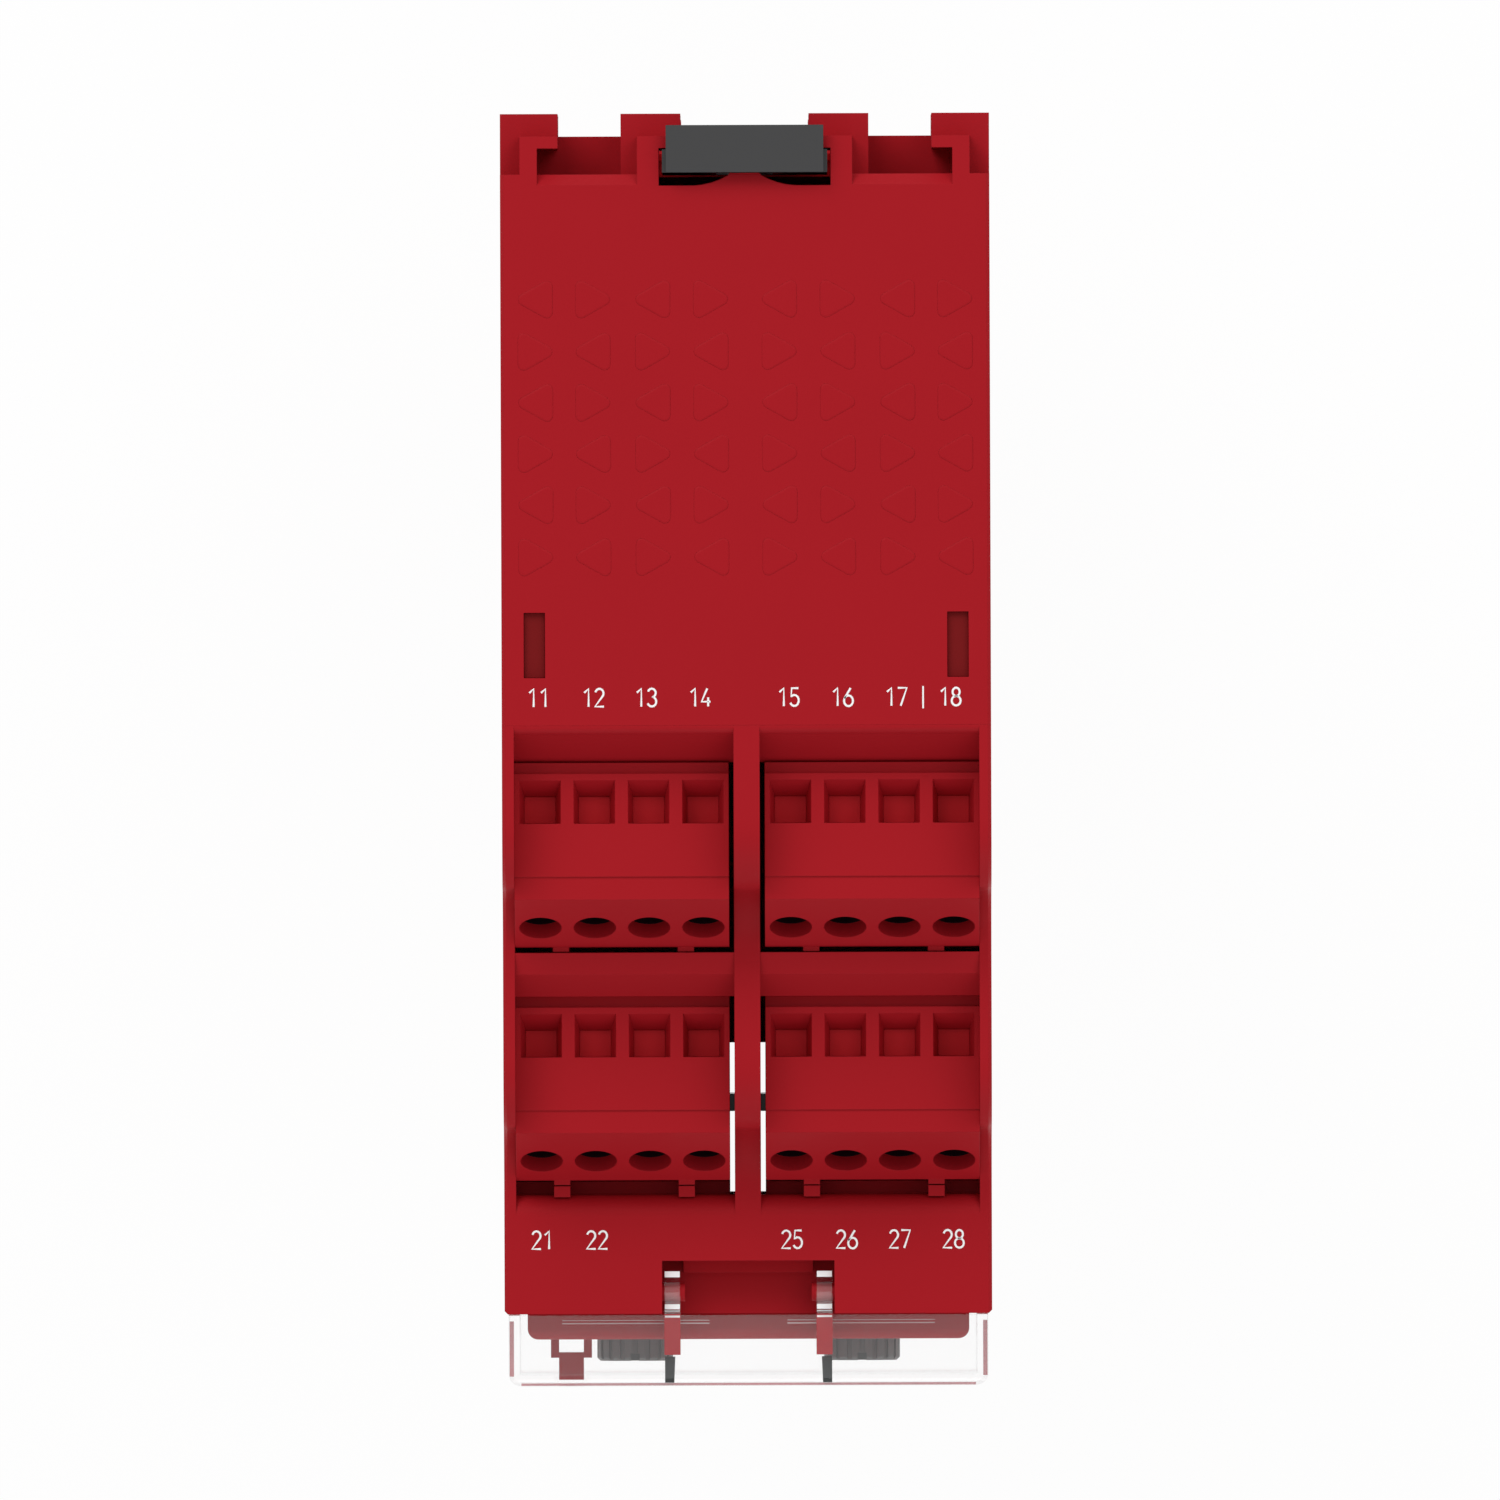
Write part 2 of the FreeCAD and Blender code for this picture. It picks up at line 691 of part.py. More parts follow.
def gap_ledge(maker, level):
    """What closes the gap in front of the front row: a ledge, and ribs that meet the plugs' tabs."""
    wall = -(front_bay_end + 0.2)
    shelves = [((low, wall), (high, -gap_ledge_back))
               for low, high in (span(side, plug_gap, inner_half) for side in (1, -1))]
    ribs = []
    for centre in (plug_x, -plug_x):
        for place in (tab_near, tab_far):
            from_middle = (place + tab_wide / 2 - plug_wide / 2) * level
            ribs.append(((centre + from_middle - tab_wide / 2, wall),
                         (centre + from_middle + tab_wide / 2, -rib_back)))
    for boxes, drop in ((shelves, gap_ledge_drop), (ribs, rib_drop)):
        low, high = span(level, front_floor - floor_skin, ledge - drop)
        maker.pad(maker.rects("XY_Plane", low, boxes), high - low)


def latch_arm(maker, side, level, rim_top):
    """A snap arm with its nose in the rear housing's window."""
    low, high = span(side, latch_in, latch_out)
    under, over = span(level, rim_top - latch_thick, rim_top)
    maker.block("Additive", (low, -(seam - rim_long + 0.2), under), (high, -latch_back, over))
    nose_low, nose_high = span(side, window_in + 0.1, window_out - 0.1)
    nose = [(-(window_back + 0.4), (rim_top - 0.2) * level), (-(window_back + 0.4), rim_top * level),
            (-(window_front - 0.6), (rim_top + latch_rise) * level),
            (-(window_front - 0.1), (rim_top + latch_rise) * level),
            (-(window_front - 0.1), (rim_top - 0.2) * level)]
    maker.pad(maker.sketch("YZ_Plane", nose_low, nose), nose_high - nose_low)


def hinge_notch(maker):
    """The pocket for the cover's two arms, with its pivot pins."""
    skin = floor_skin
    maker.block("Additive", (-(notch_half + skin), -(hood_front - 0.2), notch_floor - skin),
                (notch_half + skin, -(notch_back - skin), label - 0.3))
    maker.block("Subtractive", (-notch_half, -(hood_front + PAST), notch_floor),
                (notch_half, -notch_back, label + PAST))
    step_half = arm_inside - 0.3
    maker.block("Additive", (-step_half, -(notch_back + 1.1), notch_floor - 0.2),
                (step_half, -(notch_back - 0.2), notch_floor + 2.0))
    for side, turn in ((1, ALONG_LEFT), (-1, ALONG_RIGHT)):
        maker.rod("Additive", ((notch_half + 0.3) * side, -pivot_front, pivot_level),
                  pivot_round, pivot_reach + 0.3, turn)


def front_panel(maker):
    """The raised panel with knob holes and light windows, hollow behind."""
    rim = 1.5
    maker.pad(maker.rect("XZ_Plane", hood_front, (-panel_half, -panel_bottom), (panel_half, panel_top)),
              panel_front - hood_front)
    maker.block("Subtractive", (-(panel_half - rim), -(panel_front - panel_skin), -(panel_bottom - rim)),
                (panel_half - rim, -(hood_front - panel_skin - 0.1), panel_top - rim))
    for side in (1, -1):
        maker.rod("Subtractive", (knob_x * side, -(panel_front + PAST), knob_z),
                  knob_round + knob_play, panel_skin + PAST * 2, ALONG_BACK)
    windows = [((column, row), (column + light_wide, row + light_high)) for column, row in light_places]
    maker.pocket(maker.rects("XZ_Plane", panel_front - panel_skin - PAST, windows), panel_skin + PAST * 2)


def seal_eyelet(maker):
    """A ring with a tongue through the cover's slot, for a lead seal."""
    under = -(eyelet_z + eyelet_high / 2)
    over = -(eyelet_z - eyelet_high / 2)
    ring_half, hole_half, tongue_half = 1.9, 1.15, 1.15
    ring_end = panel_front + 1.95
    maker.block("Additive", (-(eyelet_x + ring_half), -ring_end, under),
                (-(eyelet_x - ring_half), -(panel_front - 0.2), over))
    maker.block("Subtractive", (-(eyelet_x + hole_half), -(ring_end - 0.5), under - PAST),
                (-(eyelet_x - hole_half), -(panel_front + 0.02), over + PAST))
    maker.block("Additive", (-(eyelet_x + tongue_half), -(cover_front - 0.3), under),
                (-(eyelet_x - tongue_half), -(ring_end - 0.2), over))


# ---- clip, spring and cover -------------------------------------------------------

def din_clip():
    """The sliding clip: plate, tab on top, catch below and a window for its spring."""
    maker = Maker("din_clip")
    maker.block("Additive", (-(clip_wide / 2), -clip_front, clip_foot),
                (clip_wide / 2, clip_back, clip_tab_low + 0.2))
    maker.block("Additive", (-(clip_tab_wide / 2), -clip_front, clip_tab_low),
                (clip_tab_wide / 2, clip_tab_back, clip_tab_low + clip_tab_high))
    catch_back = clip_tab_back - 0.5
    outline = [(hook_inside, clip_foot + 3.2), (hook_inside, catch_tip + 0.5),
               (hook_inside + 0.5, catch_tip), (catch_back, catch_tip + 1.6), (catch_back, clip_foot + 3.2)]
    maker.pad(maker.sketch("YZ_Plane", -(catch_wide / 2), outline), catch_wide)
    maker.block("Subtractive", (-(window_wide / 2), -(clip_front + PAST), window_low),
                (window_wide / 2, clip_back + PAST, window_high))
    return maker.finished()


def clip_spring():
    """A flat wire spring in even bends between the clip's window and the housing's peg."""
    runs = 7
    ends_play = 0.05
    strip, deep = number(spring_strip), number(spring_deep)
    low = number(window_low) + ends_play + strip / 2
    high = number(peg_low) - ends_play - strip / 2
    pitch = (high - low) / (runs - 1)
    bend = pitch / 2
    reach = number(spring_wide) / 2 - strip / 2 - bend
    middle = (number(clip_back) - number(clip_front)) / 2
    edges = []
    for i in range(runs):
        z = low + i * pitch
        way = 1 if i % 2 == 0 else -1
        start, end = Vector(-reach * way, middle, z), Vector(reach * way, middle, z)
        edges.append(Part.LineSegment(start, end).toShape())
        if i < runs - 1:
            crest = Vector((reach + bend) * way, middle, z + bend)
            edges.append(Part.Arc(end, crest, end + Vector(0, 0, pitch)).toShape())
    begin = edges[0].Vertexes[0].Point
    if (begin - Vector(-reach, middle, low)).Length > 1e-6:
        begin = edges[0].Vertexes[1].Point
    around = [Vector(0, -deep / 2, -strip / 2), Vector(0, deep / 2, -strip / 2),
              Vector(0, deep / 2, strip / 2), Vector(0, -deep / 2, strip / 2)]
    section = Part.makePolygon([begin + corner for corner in around + around[:1]])
    shape = Part.Wire(edges).makePipeShell([section], True, False)
    made = doc.addObject("Part::Feature", "clip_spring")
    made.Label = "clip_spring"
    made.Shape = shape
    made.Placement = Placement()
    return made


def front_cover():
    """The clear hinged cover: a rounded tray with two hinge arms and the seal's slot."""
    maker = Maker("front_cover")
    tray = maker.pad(maker.rect("XZ_Plane", cover_back, (-cover_half, -cover_bottom),
                                (cover_half, cover_top)), cover_front - cover_back)
    doc.recompute()
    corners = edges_where(tray.Shape, lambda p: near(p.y, -cover_front))
    rounded = round_edges(maker, tray, corners, cover_round)
    doc.recompute()
    open_face = [f"Face{i}" for i, face in enumerate(rounded.Shape.Faces, 1)
                 if near(face.CenterOfMass.y, -cover_back)]
    shell = maker.feature("Thickness", "thickness")
    shell.Base = (rounded, open_face)
    shell.Value = number(cover_skin)
    shell.setExpression("Value", formula(cover_skin))
    shell.Reversed = True
    for side in (1, -1):
        low, high = span(side, arm_inside, arm_inside + arm_thick)
        root = cover_top - 0.4
        back = cover_back + 0.05
        outline = [(-pivot_front, pivot_level + arm_round), (-arm_front, cover_top + 1.0),
                   (-arm_front, root), (-back, root), (-back, pivot_level - arm_round),
                   (-pivot_front, pivot_level - arm_round)]
        maker.pad(maker.sketch("YZ_Plane", low, outline, {5: (arm_round + 0.01, True)}), high - low)
        maker.rod("Subtractive", (low - PAST, -pivot_front, pivot_level),
                  pivot_round + 0.06, arm_thick + PAST * 2, ALONG_RIGHT)
    slot_half, slot_high = 1.6, 1.4
    maker.block("Subtractive", (-(eyelet_x + slot_half), -(cover_front + PAST), -(eyelet_z + slot_high)),
                (-(eyelet_x - slot_half), -(cover_front - cover_skin - 0.4), -(eyelet_z - slot_high)))
    return maker.finished()


# ---- plugs ------------------------------------------------------------------------

bevel_tilt = math.degrees(math.atan2(number(bevel_drop) - number(crown_step),
                                     number(plug_deep) - number(crown_deep)))
INTO_BORE = Rotation(Vector(1, 0, 0), bevel_tilt)
OUT_OF_BORE = INTO_BORE.multVec(Vector(0, 0, 1))


def bevel_level(depth):
    """Level of the bevelled front at a depth into the plug."""
    share = (depth - crown_deep) / (plug_deep - crown_deep)
    return -(crown_step + (bevel_drop - crown_step) * share)


def on_bore(pole, depth_in):
    """The point on a pole's bore axis, a distance below the bevel."""
    return (pole, -bore_centre - depth_in * OUT_OF_BORE.y,
            bevel_level(bore_centre) - depth_in * OUT_OF_BORE.z)


def plug_body(name):
    """The plug's moulding: funnels and cages above each other, bores in the bevel."""
    maker = Maker(name)
    half_wide = plug_wide / 2
    outline = [(0.0, -plug_high), (0.0, -strip_drop), (-strip_deep, -strip_drop), (-strip_deep, 0.0),
               (-crown_line, 0.0), (-crown_line, -crown_step), (-crown_deep, -crown_step),
               (-plug_deep, -bevel_drop), (-plug_deep, -plug_high)]
    maker.pad(maker.sketch("YZ_Plane", -half_wide, outline), plug_wide)
    for place in (tab_near - half_wide, tab_far - half_wide):
        maker.block("Additive", (place, -(plug_deep + tab_out), -(bevel_drop + tab_high)),
                    (place + tab_wide, -(plug_deep - 0.2), -bevel_drop))
    front = funnel_back + funnel_deep
    throat_low, throat_high = -front, -(front - entry_deep)
    for pole in poles:
        mouth = maker.rect("XY_Plane", 0.0, (pole - funnel_wide / 2, -front),
                           (pole + funnel_wide / 2, -funnel_back))
        throat = maker.rect("XY_Plane", -funnel_drop, (pole - entry_wide / 2, throat_low),
                            (pole + entry_wide / 2, throat_high))
        maker.loft([mouth, throat])
        maker.rod("Subtractive", on_bore(pole, bore_long), bore_round, bore_long + 2.5, INTO_BORE)
    entries = [((pole - entry_wide / 2, throat_low), (pole + entry_wide / 2, throat_high)) for pole in poles]
    for low, high in ((guard_drop, funnel_drop - 0.01), (cage_drop + 0.2, guard_drop + guard_thick)):
        maker.pocket(maker.rects("XY_Plane", -low, entries), low - high)
    cage_half = cage_wide / 2 + cage_play
    cages = [((pole - cage_half, -(funnel_back + cage_deep + cage_play)),
              (pole + cage_half, -(funnel_back - cage_play))) for pole in poles]
    maker.pocket(maker.rects("XY_Plane", -(plug_high + PAST), cages), plug_high + PAST - cage_drop)
    slots = [((pole - pin_slot / 2, -(pin_back + pin_slot / 2)),
              (pole + pin_slot / 2, -(pin_back - pin_slot / 2))) for pole in poles]
    maker.pocket(maker.rects("XY_Plane", -(plug_high + PAST), slots), pin_reach + 0.4 + PAST)
    return maker.finished()


def plug_screws(name):
    """Four slotted screws in the plug's bores."""
    maker = Maker(name)
    shank_long = bore_long - head_sunk - head_long - 0.8
    for pole in poles:
        maker.rod("Additive", on_bore(pole, head_sunk + head_long), head_round, head_long, INTO_BORE)
        maker.rod("Additive", on_bore(pole, head_sunk + head_long + shank_long), shank_round,
                  shank_long + 0.1, INTO_BORE)
        slot = maker.feature("SubtractiveBox", "slot")
        slot.setExpression("Length", (head_round * 2 + PAST).text)
        slot.setExpression("Width", slot_wide.text)
        slot.setExpression("Height", "1.0")
        corner = Vector(*[number(part) for part in on_bore(pole, head_sunk + 0.7)])
        slot.Placement = Placement(corner, INTO_BORE).multiply(
            Placement(Vector(-number(head_round) - PAST / 2, -number(slot_wide) / 2, 0), Rotation()))
    return maker.finished()


def plug_clamps(name):
    """Four open clamp cages, one under each funnel."""
    maker = Maker(name)
    front, back, high = -(funnel_back + cage_deep), -funnel_back, -(cage_drop + cage_play)
    rings = []
    for pole in poles:
        rings.append(rectangle((pole - cage_wide / 2, front), (pole + cage_wide / 2, back)))
        rings.append(rectangle((pole - cage_wide / 2 + cage_skin, front + cage_skin),
                               (pole + cage_wide / 2 - cage_skin, back - cage_skin)))
    level = -(cage_drop + cage_high)
    maker.pad(maker.sketch_of("XY_Plane", level, [(ring, {}) for ring in rings]), high - level)
    return maker.finished()


def pin_header(name):
    """The header's block under a plug, with a slot for each pin."""
    maker = Maker(name)
    over = plug_high + header_drop
    maker.block("Additive", (-header_half, -header_front, -(over + header_high)),
                (header_half, -header_back, -over))
    slots = [((pole - pin_wide / 2, -(header_front + PAST)),
              (pole + pin_wide / 2, -(pin_back - pin_wide / 2)))
             for pole in poles]
    maker.pocket(maker.rects("XY_Plane", -(over + header_high + PAST), slots), header_high + PAST * 2)
    return maker.finished()


def header_pins(name, row, plug_level):
    """All the bent pins of one row: four headers of four."""
    maker = Maker(name)
    reach = pin_wide / 2
    pins = [plug_x * side + place for side in (1, -1) for place in poles]
    pin_y = -(row + pin_back)
    leg_y = -(row + header_front + board_play)
    foot = plug_level - plug_high - header_drop - header_high + 0.3
    tip = plug_level - plug_high + pin_reach
    stems = [((pin - reach, pin_y - reach), (pin + reach, pin_y + reach)) for pin in pins]
    legs = [((pin - reach, leg_y), (pin + reach, pin_y)) for pin in pins]
    for level in (1, -1):
        low, high = span(level, foot, tip)
        maker.pad(maker.rects("XY_Plane", low, stems), high - low)
        low, high = span(level, foot, foot + pin_wide)
        maker.pad(maker.rects("XY_Plane", low, legs), high - low)
    return maker.finished()


def placed(body, x, depth, level, upright):
    """Put a plug part in its bay: upright above, turned over below."""
    turn = Rotation() if upright else Rotation(Vector(0, 1, 0), 180)
    body.Placement = Placement(Vector(number(x), -number(depth), number(level)), turn)
    for name, part in zip("xyz", (x, -depth, level)):
        body.setExpression(f"Placement.Base.{name}", formula(part))
    return body


# ---- front panel parts, boards and what they carry --------------------------------

def selector_knob(name, x):
    """A ribbed rotary knob with a pointer slot and a short shaft."""
    maker = Maker(name)
    shaft_round, shaft_long, nose = 1.2, 2.0, 0.3
    back = panel_front - panel_skin + 0.05
    outline = [(0.0, -(back - shaft_long)), (shaft_round, -(back - shaft_long)), (shaft_round, -back),
               (knob_round, -back), (knob_round, -(knob_out - nose)), (knob_round - nose, -knob_out),
               (0.0, -knob_out)]
    maker.revolve(maker.sketch("XY_Plane", 0.0, outline), "Y_Axis")
    maker.block("Subtractive", (-0.4, -(knob_out + PAST), -0.6), (0.4, -(knob_out - 0.7), knob_round + PAST))
    rib = maker.block("Subtractive", (-(knob_round * 0.06), -(knob_out + PAST), knob_round - 0.2),
                      (knob_round * 0.06, -panel_front, knob_round + PAST))
    ribs = maker.feature("PolarPattern", "polar")
    ribs.Originals = [rib]
    ribs.Axis = (maker.plane("Y_Axis"), [""])
    ribs.Angle = 360
    ribs.Occurrences = 18
    maker.body.Tip = ribs
    return placed(maker.finished(), x, 0.0, knob_z, True)


def selector_switches():
    """Two rotary switch cases behind the panel, each with a bore for its knob's shaft."""
    maker = Maker("selector_switches")
    case_half, front = 4.5, panel_front - panel_skin - 0.1
    board_face = display_front + board_thick + board_play
    for side in (1, -1):
        maker.block("Additive", (knob_x * side - case_half, -front, knob_z - case_half),
                    (knob_x * side + case_half, -board_face, knob_z + case_half))
        maker.rod("Subtractive", (knob_x * side, -(front + PAST), knob_z), 1.3, 3.2, ALONG_BACK)
    return maker.finished()


def light_guides():
    """Clear bars that bring the status lights to the panel's windows."""
    maker = Maker("light_guides")
    play = 0.05
    lamp_end = display_front + board_thick + lamp_high
    ends = [((column + play, row + play), (column + light_wide - play, row + light_high - play))
            for column, row in light_places]
    maker.pad(maker.rects("XZ_Plane", lamp_end + play, ends), panel_front + 0.1 - lamp_end - play)
    return maker.finished()


def status_lights():
    """The lamps on the display board, one behind each light guide."""
    maker = Maker("status_lights")
    board_face = display_front + board_thick
    faces = [((column + 0.2, row), (column + light_wide - 0.2, row + light_high))
             for column, row in light_places]
    maker.pad(maker.rects("XZ_Plane", board_face + board_play, faces), lamp_high - board_play)
    return maker.finished()


def boards():
    """The five circuit boards: two along the sides and three across."""
    across = cross_board_half
    rear_front = bay_back + header_front + board_play * 2
    row_front = front_bay + header_front + board_play * 2
    plates = [("rear_board", (-across, -(rear_front + board_thick), -24.2), (across, -rear_front, 24.2)),
              ("front_board", (-across, -(row_front + board_thick), -13.6), (across, -row_front, 13.6)),
              ("display_board", (-display_half, -(display_front + board_thick), -display_high),
               (display_half, -display_front, display_high))]
    for name, side in (("right_board", 1), ("left_board", -1)):
        low, high = span(side, side_board_x, side_board_x + board_thick)
        plates.append((name, (low, -side_board_front, -side_board_half),
                       (high, -side_board_back, side_board_half)))
    made = []
    for name, low, high in plates:
        made.append(Maker(name))
        made[-1].block("Additive", low, high)
    notch_start = front_floor - floor_skin - 0.05
    for level in (1, -1):
        low_z, high_z = span(level, notch_start, notch_start + 5.0)
        made[1].block("Subtractive", (-(bay_inside + 0.1), -(row_front + board_thick + PAST), low_z),
                      (bay_inside + 0.1, -(row_front - PAST), high_z))
    return [maker.finished() for maker in made]


def safety_relay_case(name, side, level):
    """One sealed relay on a side board: a rounded case with its terminal pins' plinth."""
    maker = Maker(name)
    face = side_board_x - board_play
    low_x, high_x = span(side, face - relay_thick, face)
    low_z, high_z = span(level, relay_apart, relay_apart + relay_high)
    case = maker.block("Additive", (low_x, -(relay_back + relay_deep), low_z), (high_x, -relay_back, high_z))
    doc.recompute()
    upright = edges_where(case.Shape, lambda p: near(abs(p.x), face - relay_thick))
    round_edges(maker, case, upright, 0.8)
    groove_low, groove_high = span(side, face - 2.0, face - 1.6)
    for y in (-(relay_back + relay_deep) - PAST, -relay_back - 0.3):
        maker.block("Subtractive", (groove_low, y, low_z - PAST),
                    (groove_high, y + PAST + 0.3, high_z + PAST))
    return maker.finished()


def transformer():
    """The supply's transformer: a laminated core around a wound bobbin."""
    maker = Maker("transformer")
    face = -(side_board_x - board_play)
    back, deep, tall, thick = 37.2, 13.6, 20.0, 14.0
    coil_margin, coil_out = 4.0, 1.6
    maker.block("Additive", (face, -(back + deep), -tall / 2), (face + thick, -back, tall / 2))
    maker.block("Additive", (face + 1.0, -(back + deep - coil_margin), -(tall / 2 + coil_out)),
                (face + thick + coil_out, -(back + coil_margin), tall / 2 + coil_out))
    return maker.finished()


def capacitors():
    """Three can capacitors standing on the right board."""
    maker = Maker("capacitors")
    face = side_board_x - board_play
    for z in (-16.0, -4.0, 8.0):
        maker.rod("Additive", (face, -44.5, z), 5.0, 15.0, ALONG_LEFT)
    return maker.finished()


def board_links():
    """Connector blocks between the boards: side to rear, rear to front, front to display."""
    maker = Maker("board_links")
    rear_front = bay_back + header_front + board_play * 2
    row_front = front_bay + header_front + board_play * 2
    play = board_play
    for side in (1, -1):
        low, high = span(side, 12.2, side_board_x - play)
        maker.block("Additive", (low, -(rear_front - play), -14.0), (high, -(side_board_front - 1.5), 14.0))
        low, high = span(side, 6.0, 16.0)
        maker.block("Additive", (low, -(row_front - play), -1.3),
                    (high, -(rear_front + board_thick + play), 1.3))
        low, high = span(side, 7.0, 15.0)
        maker.block("Additive", (low, -(display_front - play), -12.0),
                    (high, -(row_front + board_thick + play), -9.4))
    return maker.finished()


# ---- the whole relay --------------------------------------------------------------

parts = [rear_housing(), front_housing(), din_clip(), clip_spring(), front_cover()]

rows = (("rear", bay_back, top - plug_drop), ("front", front_bay, ledge - plug_drop))
sides = (("left", -plug_x), ("right", plug_x))
for row_name, row_back, row_level in rows:
    for side_name, plug_centre in sides:
        for level_name, upright in (("top", True), ("bottom", False)):
            place = f"{level_name}_{row_name}_{side_name}"
            level = row_level if upright else -row_level
            for make, prefix in ((plug_body, "plug"), (plug_screws, "screws"),
                                 (plug_clamps, "clamps"), (pin_header, "header")):
                parts.append(placed(make(f"{prefix}_{place}"), plug_centre, row_back, level, upright))

parts += [header_pins("rear_header_pins", bay_back, top - plug_drop),
          header_pins("front_header_pins", front_bay, ledge - plug_drop),
          selector_knob("knob_left", -knob_x), selector_knob("knob_right", knob_x),
          selector_switches(), light_guides(), status_lights(), transformer(), capacitors(), board_links()]
parts += boards()
for side_name, side in (("right", 1), ("left", -1)):
    for level_name, level in (("upper", 1), ("lower", -1)):
        parts.append(safety_relay_case(f"relay_{level_name}_{side_name}", side, level))

doc.recompute()

for item in doc.Objects:
    if "Invalid" in item.State or "Error" in item.State:
        raise RuntimeError(f"{item.Label} failed: {item.State}")
    cuts = ("Pocket", "Subtractive", "Loft")
    base = getattr(item, "BaseFeature", None)
    if base and any(word in item.TypeId for word in cuts):
        if item.Shape.Volume > base.Shape.Volume - 1e-4:
            raise RuntimeError(f"{item.Label} cuts nothing")
for part in parts:
    if part.Shape.isNull() or not part.Shape.isValid():
        raise RuntimeError(f"{part.Label} has no sound shape")

os.makedirs("parts", exist_ok=True)
for part in parts:
    part.Shape.exportStep(f"parts/{part.Label}.step")
    print(part.Label, len(part.Shape.Solids), round(part.Shape.Volume, 1))
print(len(parts), "parts")
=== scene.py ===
import bmesh
import bpy
import json
import math
from mathutils import Matrix, Vector


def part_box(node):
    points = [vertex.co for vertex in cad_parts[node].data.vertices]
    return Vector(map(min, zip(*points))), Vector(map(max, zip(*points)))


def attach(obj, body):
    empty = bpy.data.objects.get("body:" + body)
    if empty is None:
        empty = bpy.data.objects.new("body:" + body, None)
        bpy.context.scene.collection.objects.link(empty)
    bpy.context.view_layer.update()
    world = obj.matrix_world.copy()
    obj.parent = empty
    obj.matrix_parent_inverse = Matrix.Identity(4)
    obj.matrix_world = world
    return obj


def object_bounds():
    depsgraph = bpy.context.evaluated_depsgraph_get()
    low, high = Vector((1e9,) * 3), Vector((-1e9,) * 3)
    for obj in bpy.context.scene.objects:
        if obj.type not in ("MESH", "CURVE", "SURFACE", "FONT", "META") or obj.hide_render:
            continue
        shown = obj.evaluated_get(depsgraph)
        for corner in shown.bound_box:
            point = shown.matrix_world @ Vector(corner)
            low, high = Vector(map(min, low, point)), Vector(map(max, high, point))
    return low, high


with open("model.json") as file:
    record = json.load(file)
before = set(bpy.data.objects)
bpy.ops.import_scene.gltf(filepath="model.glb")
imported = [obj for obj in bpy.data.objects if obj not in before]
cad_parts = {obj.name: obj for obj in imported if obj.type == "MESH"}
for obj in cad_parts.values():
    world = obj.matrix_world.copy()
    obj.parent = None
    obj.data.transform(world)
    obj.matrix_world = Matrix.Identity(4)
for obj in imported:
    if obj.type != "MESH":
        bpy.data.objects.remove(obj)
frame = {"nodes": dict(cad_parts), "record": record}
cad_low, cad_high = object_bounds()

# Shapes are given in millimetres and turned into metres where they are made.
# x goes across the relay, -y towards its front and z up.
MM = 0.001
TOP_LEVEL = 49.5
LABEL_LEVEL = 25.0

scene = bpy.context.scene
scene.view_settings.view_transform = "Standard"


def box_mm(name):
    """The low and high corners of a CAD node, in millimetres."""
    return [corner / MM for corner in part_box(name)]


# ---- how materials are made -----------------------------------------------------

NOISE_LOW, NOISE_HIGH = 0.3, 0.7
COLOUR_PATCH, COLOUR_VARY = 14 * MM, 0.03
GLOSS_PATCH, GLOSS_VARY = 3 * MM, 0.05
GRAIN_DEPTH = 0.01 * MM
CLEAR_INDEX = 1.5


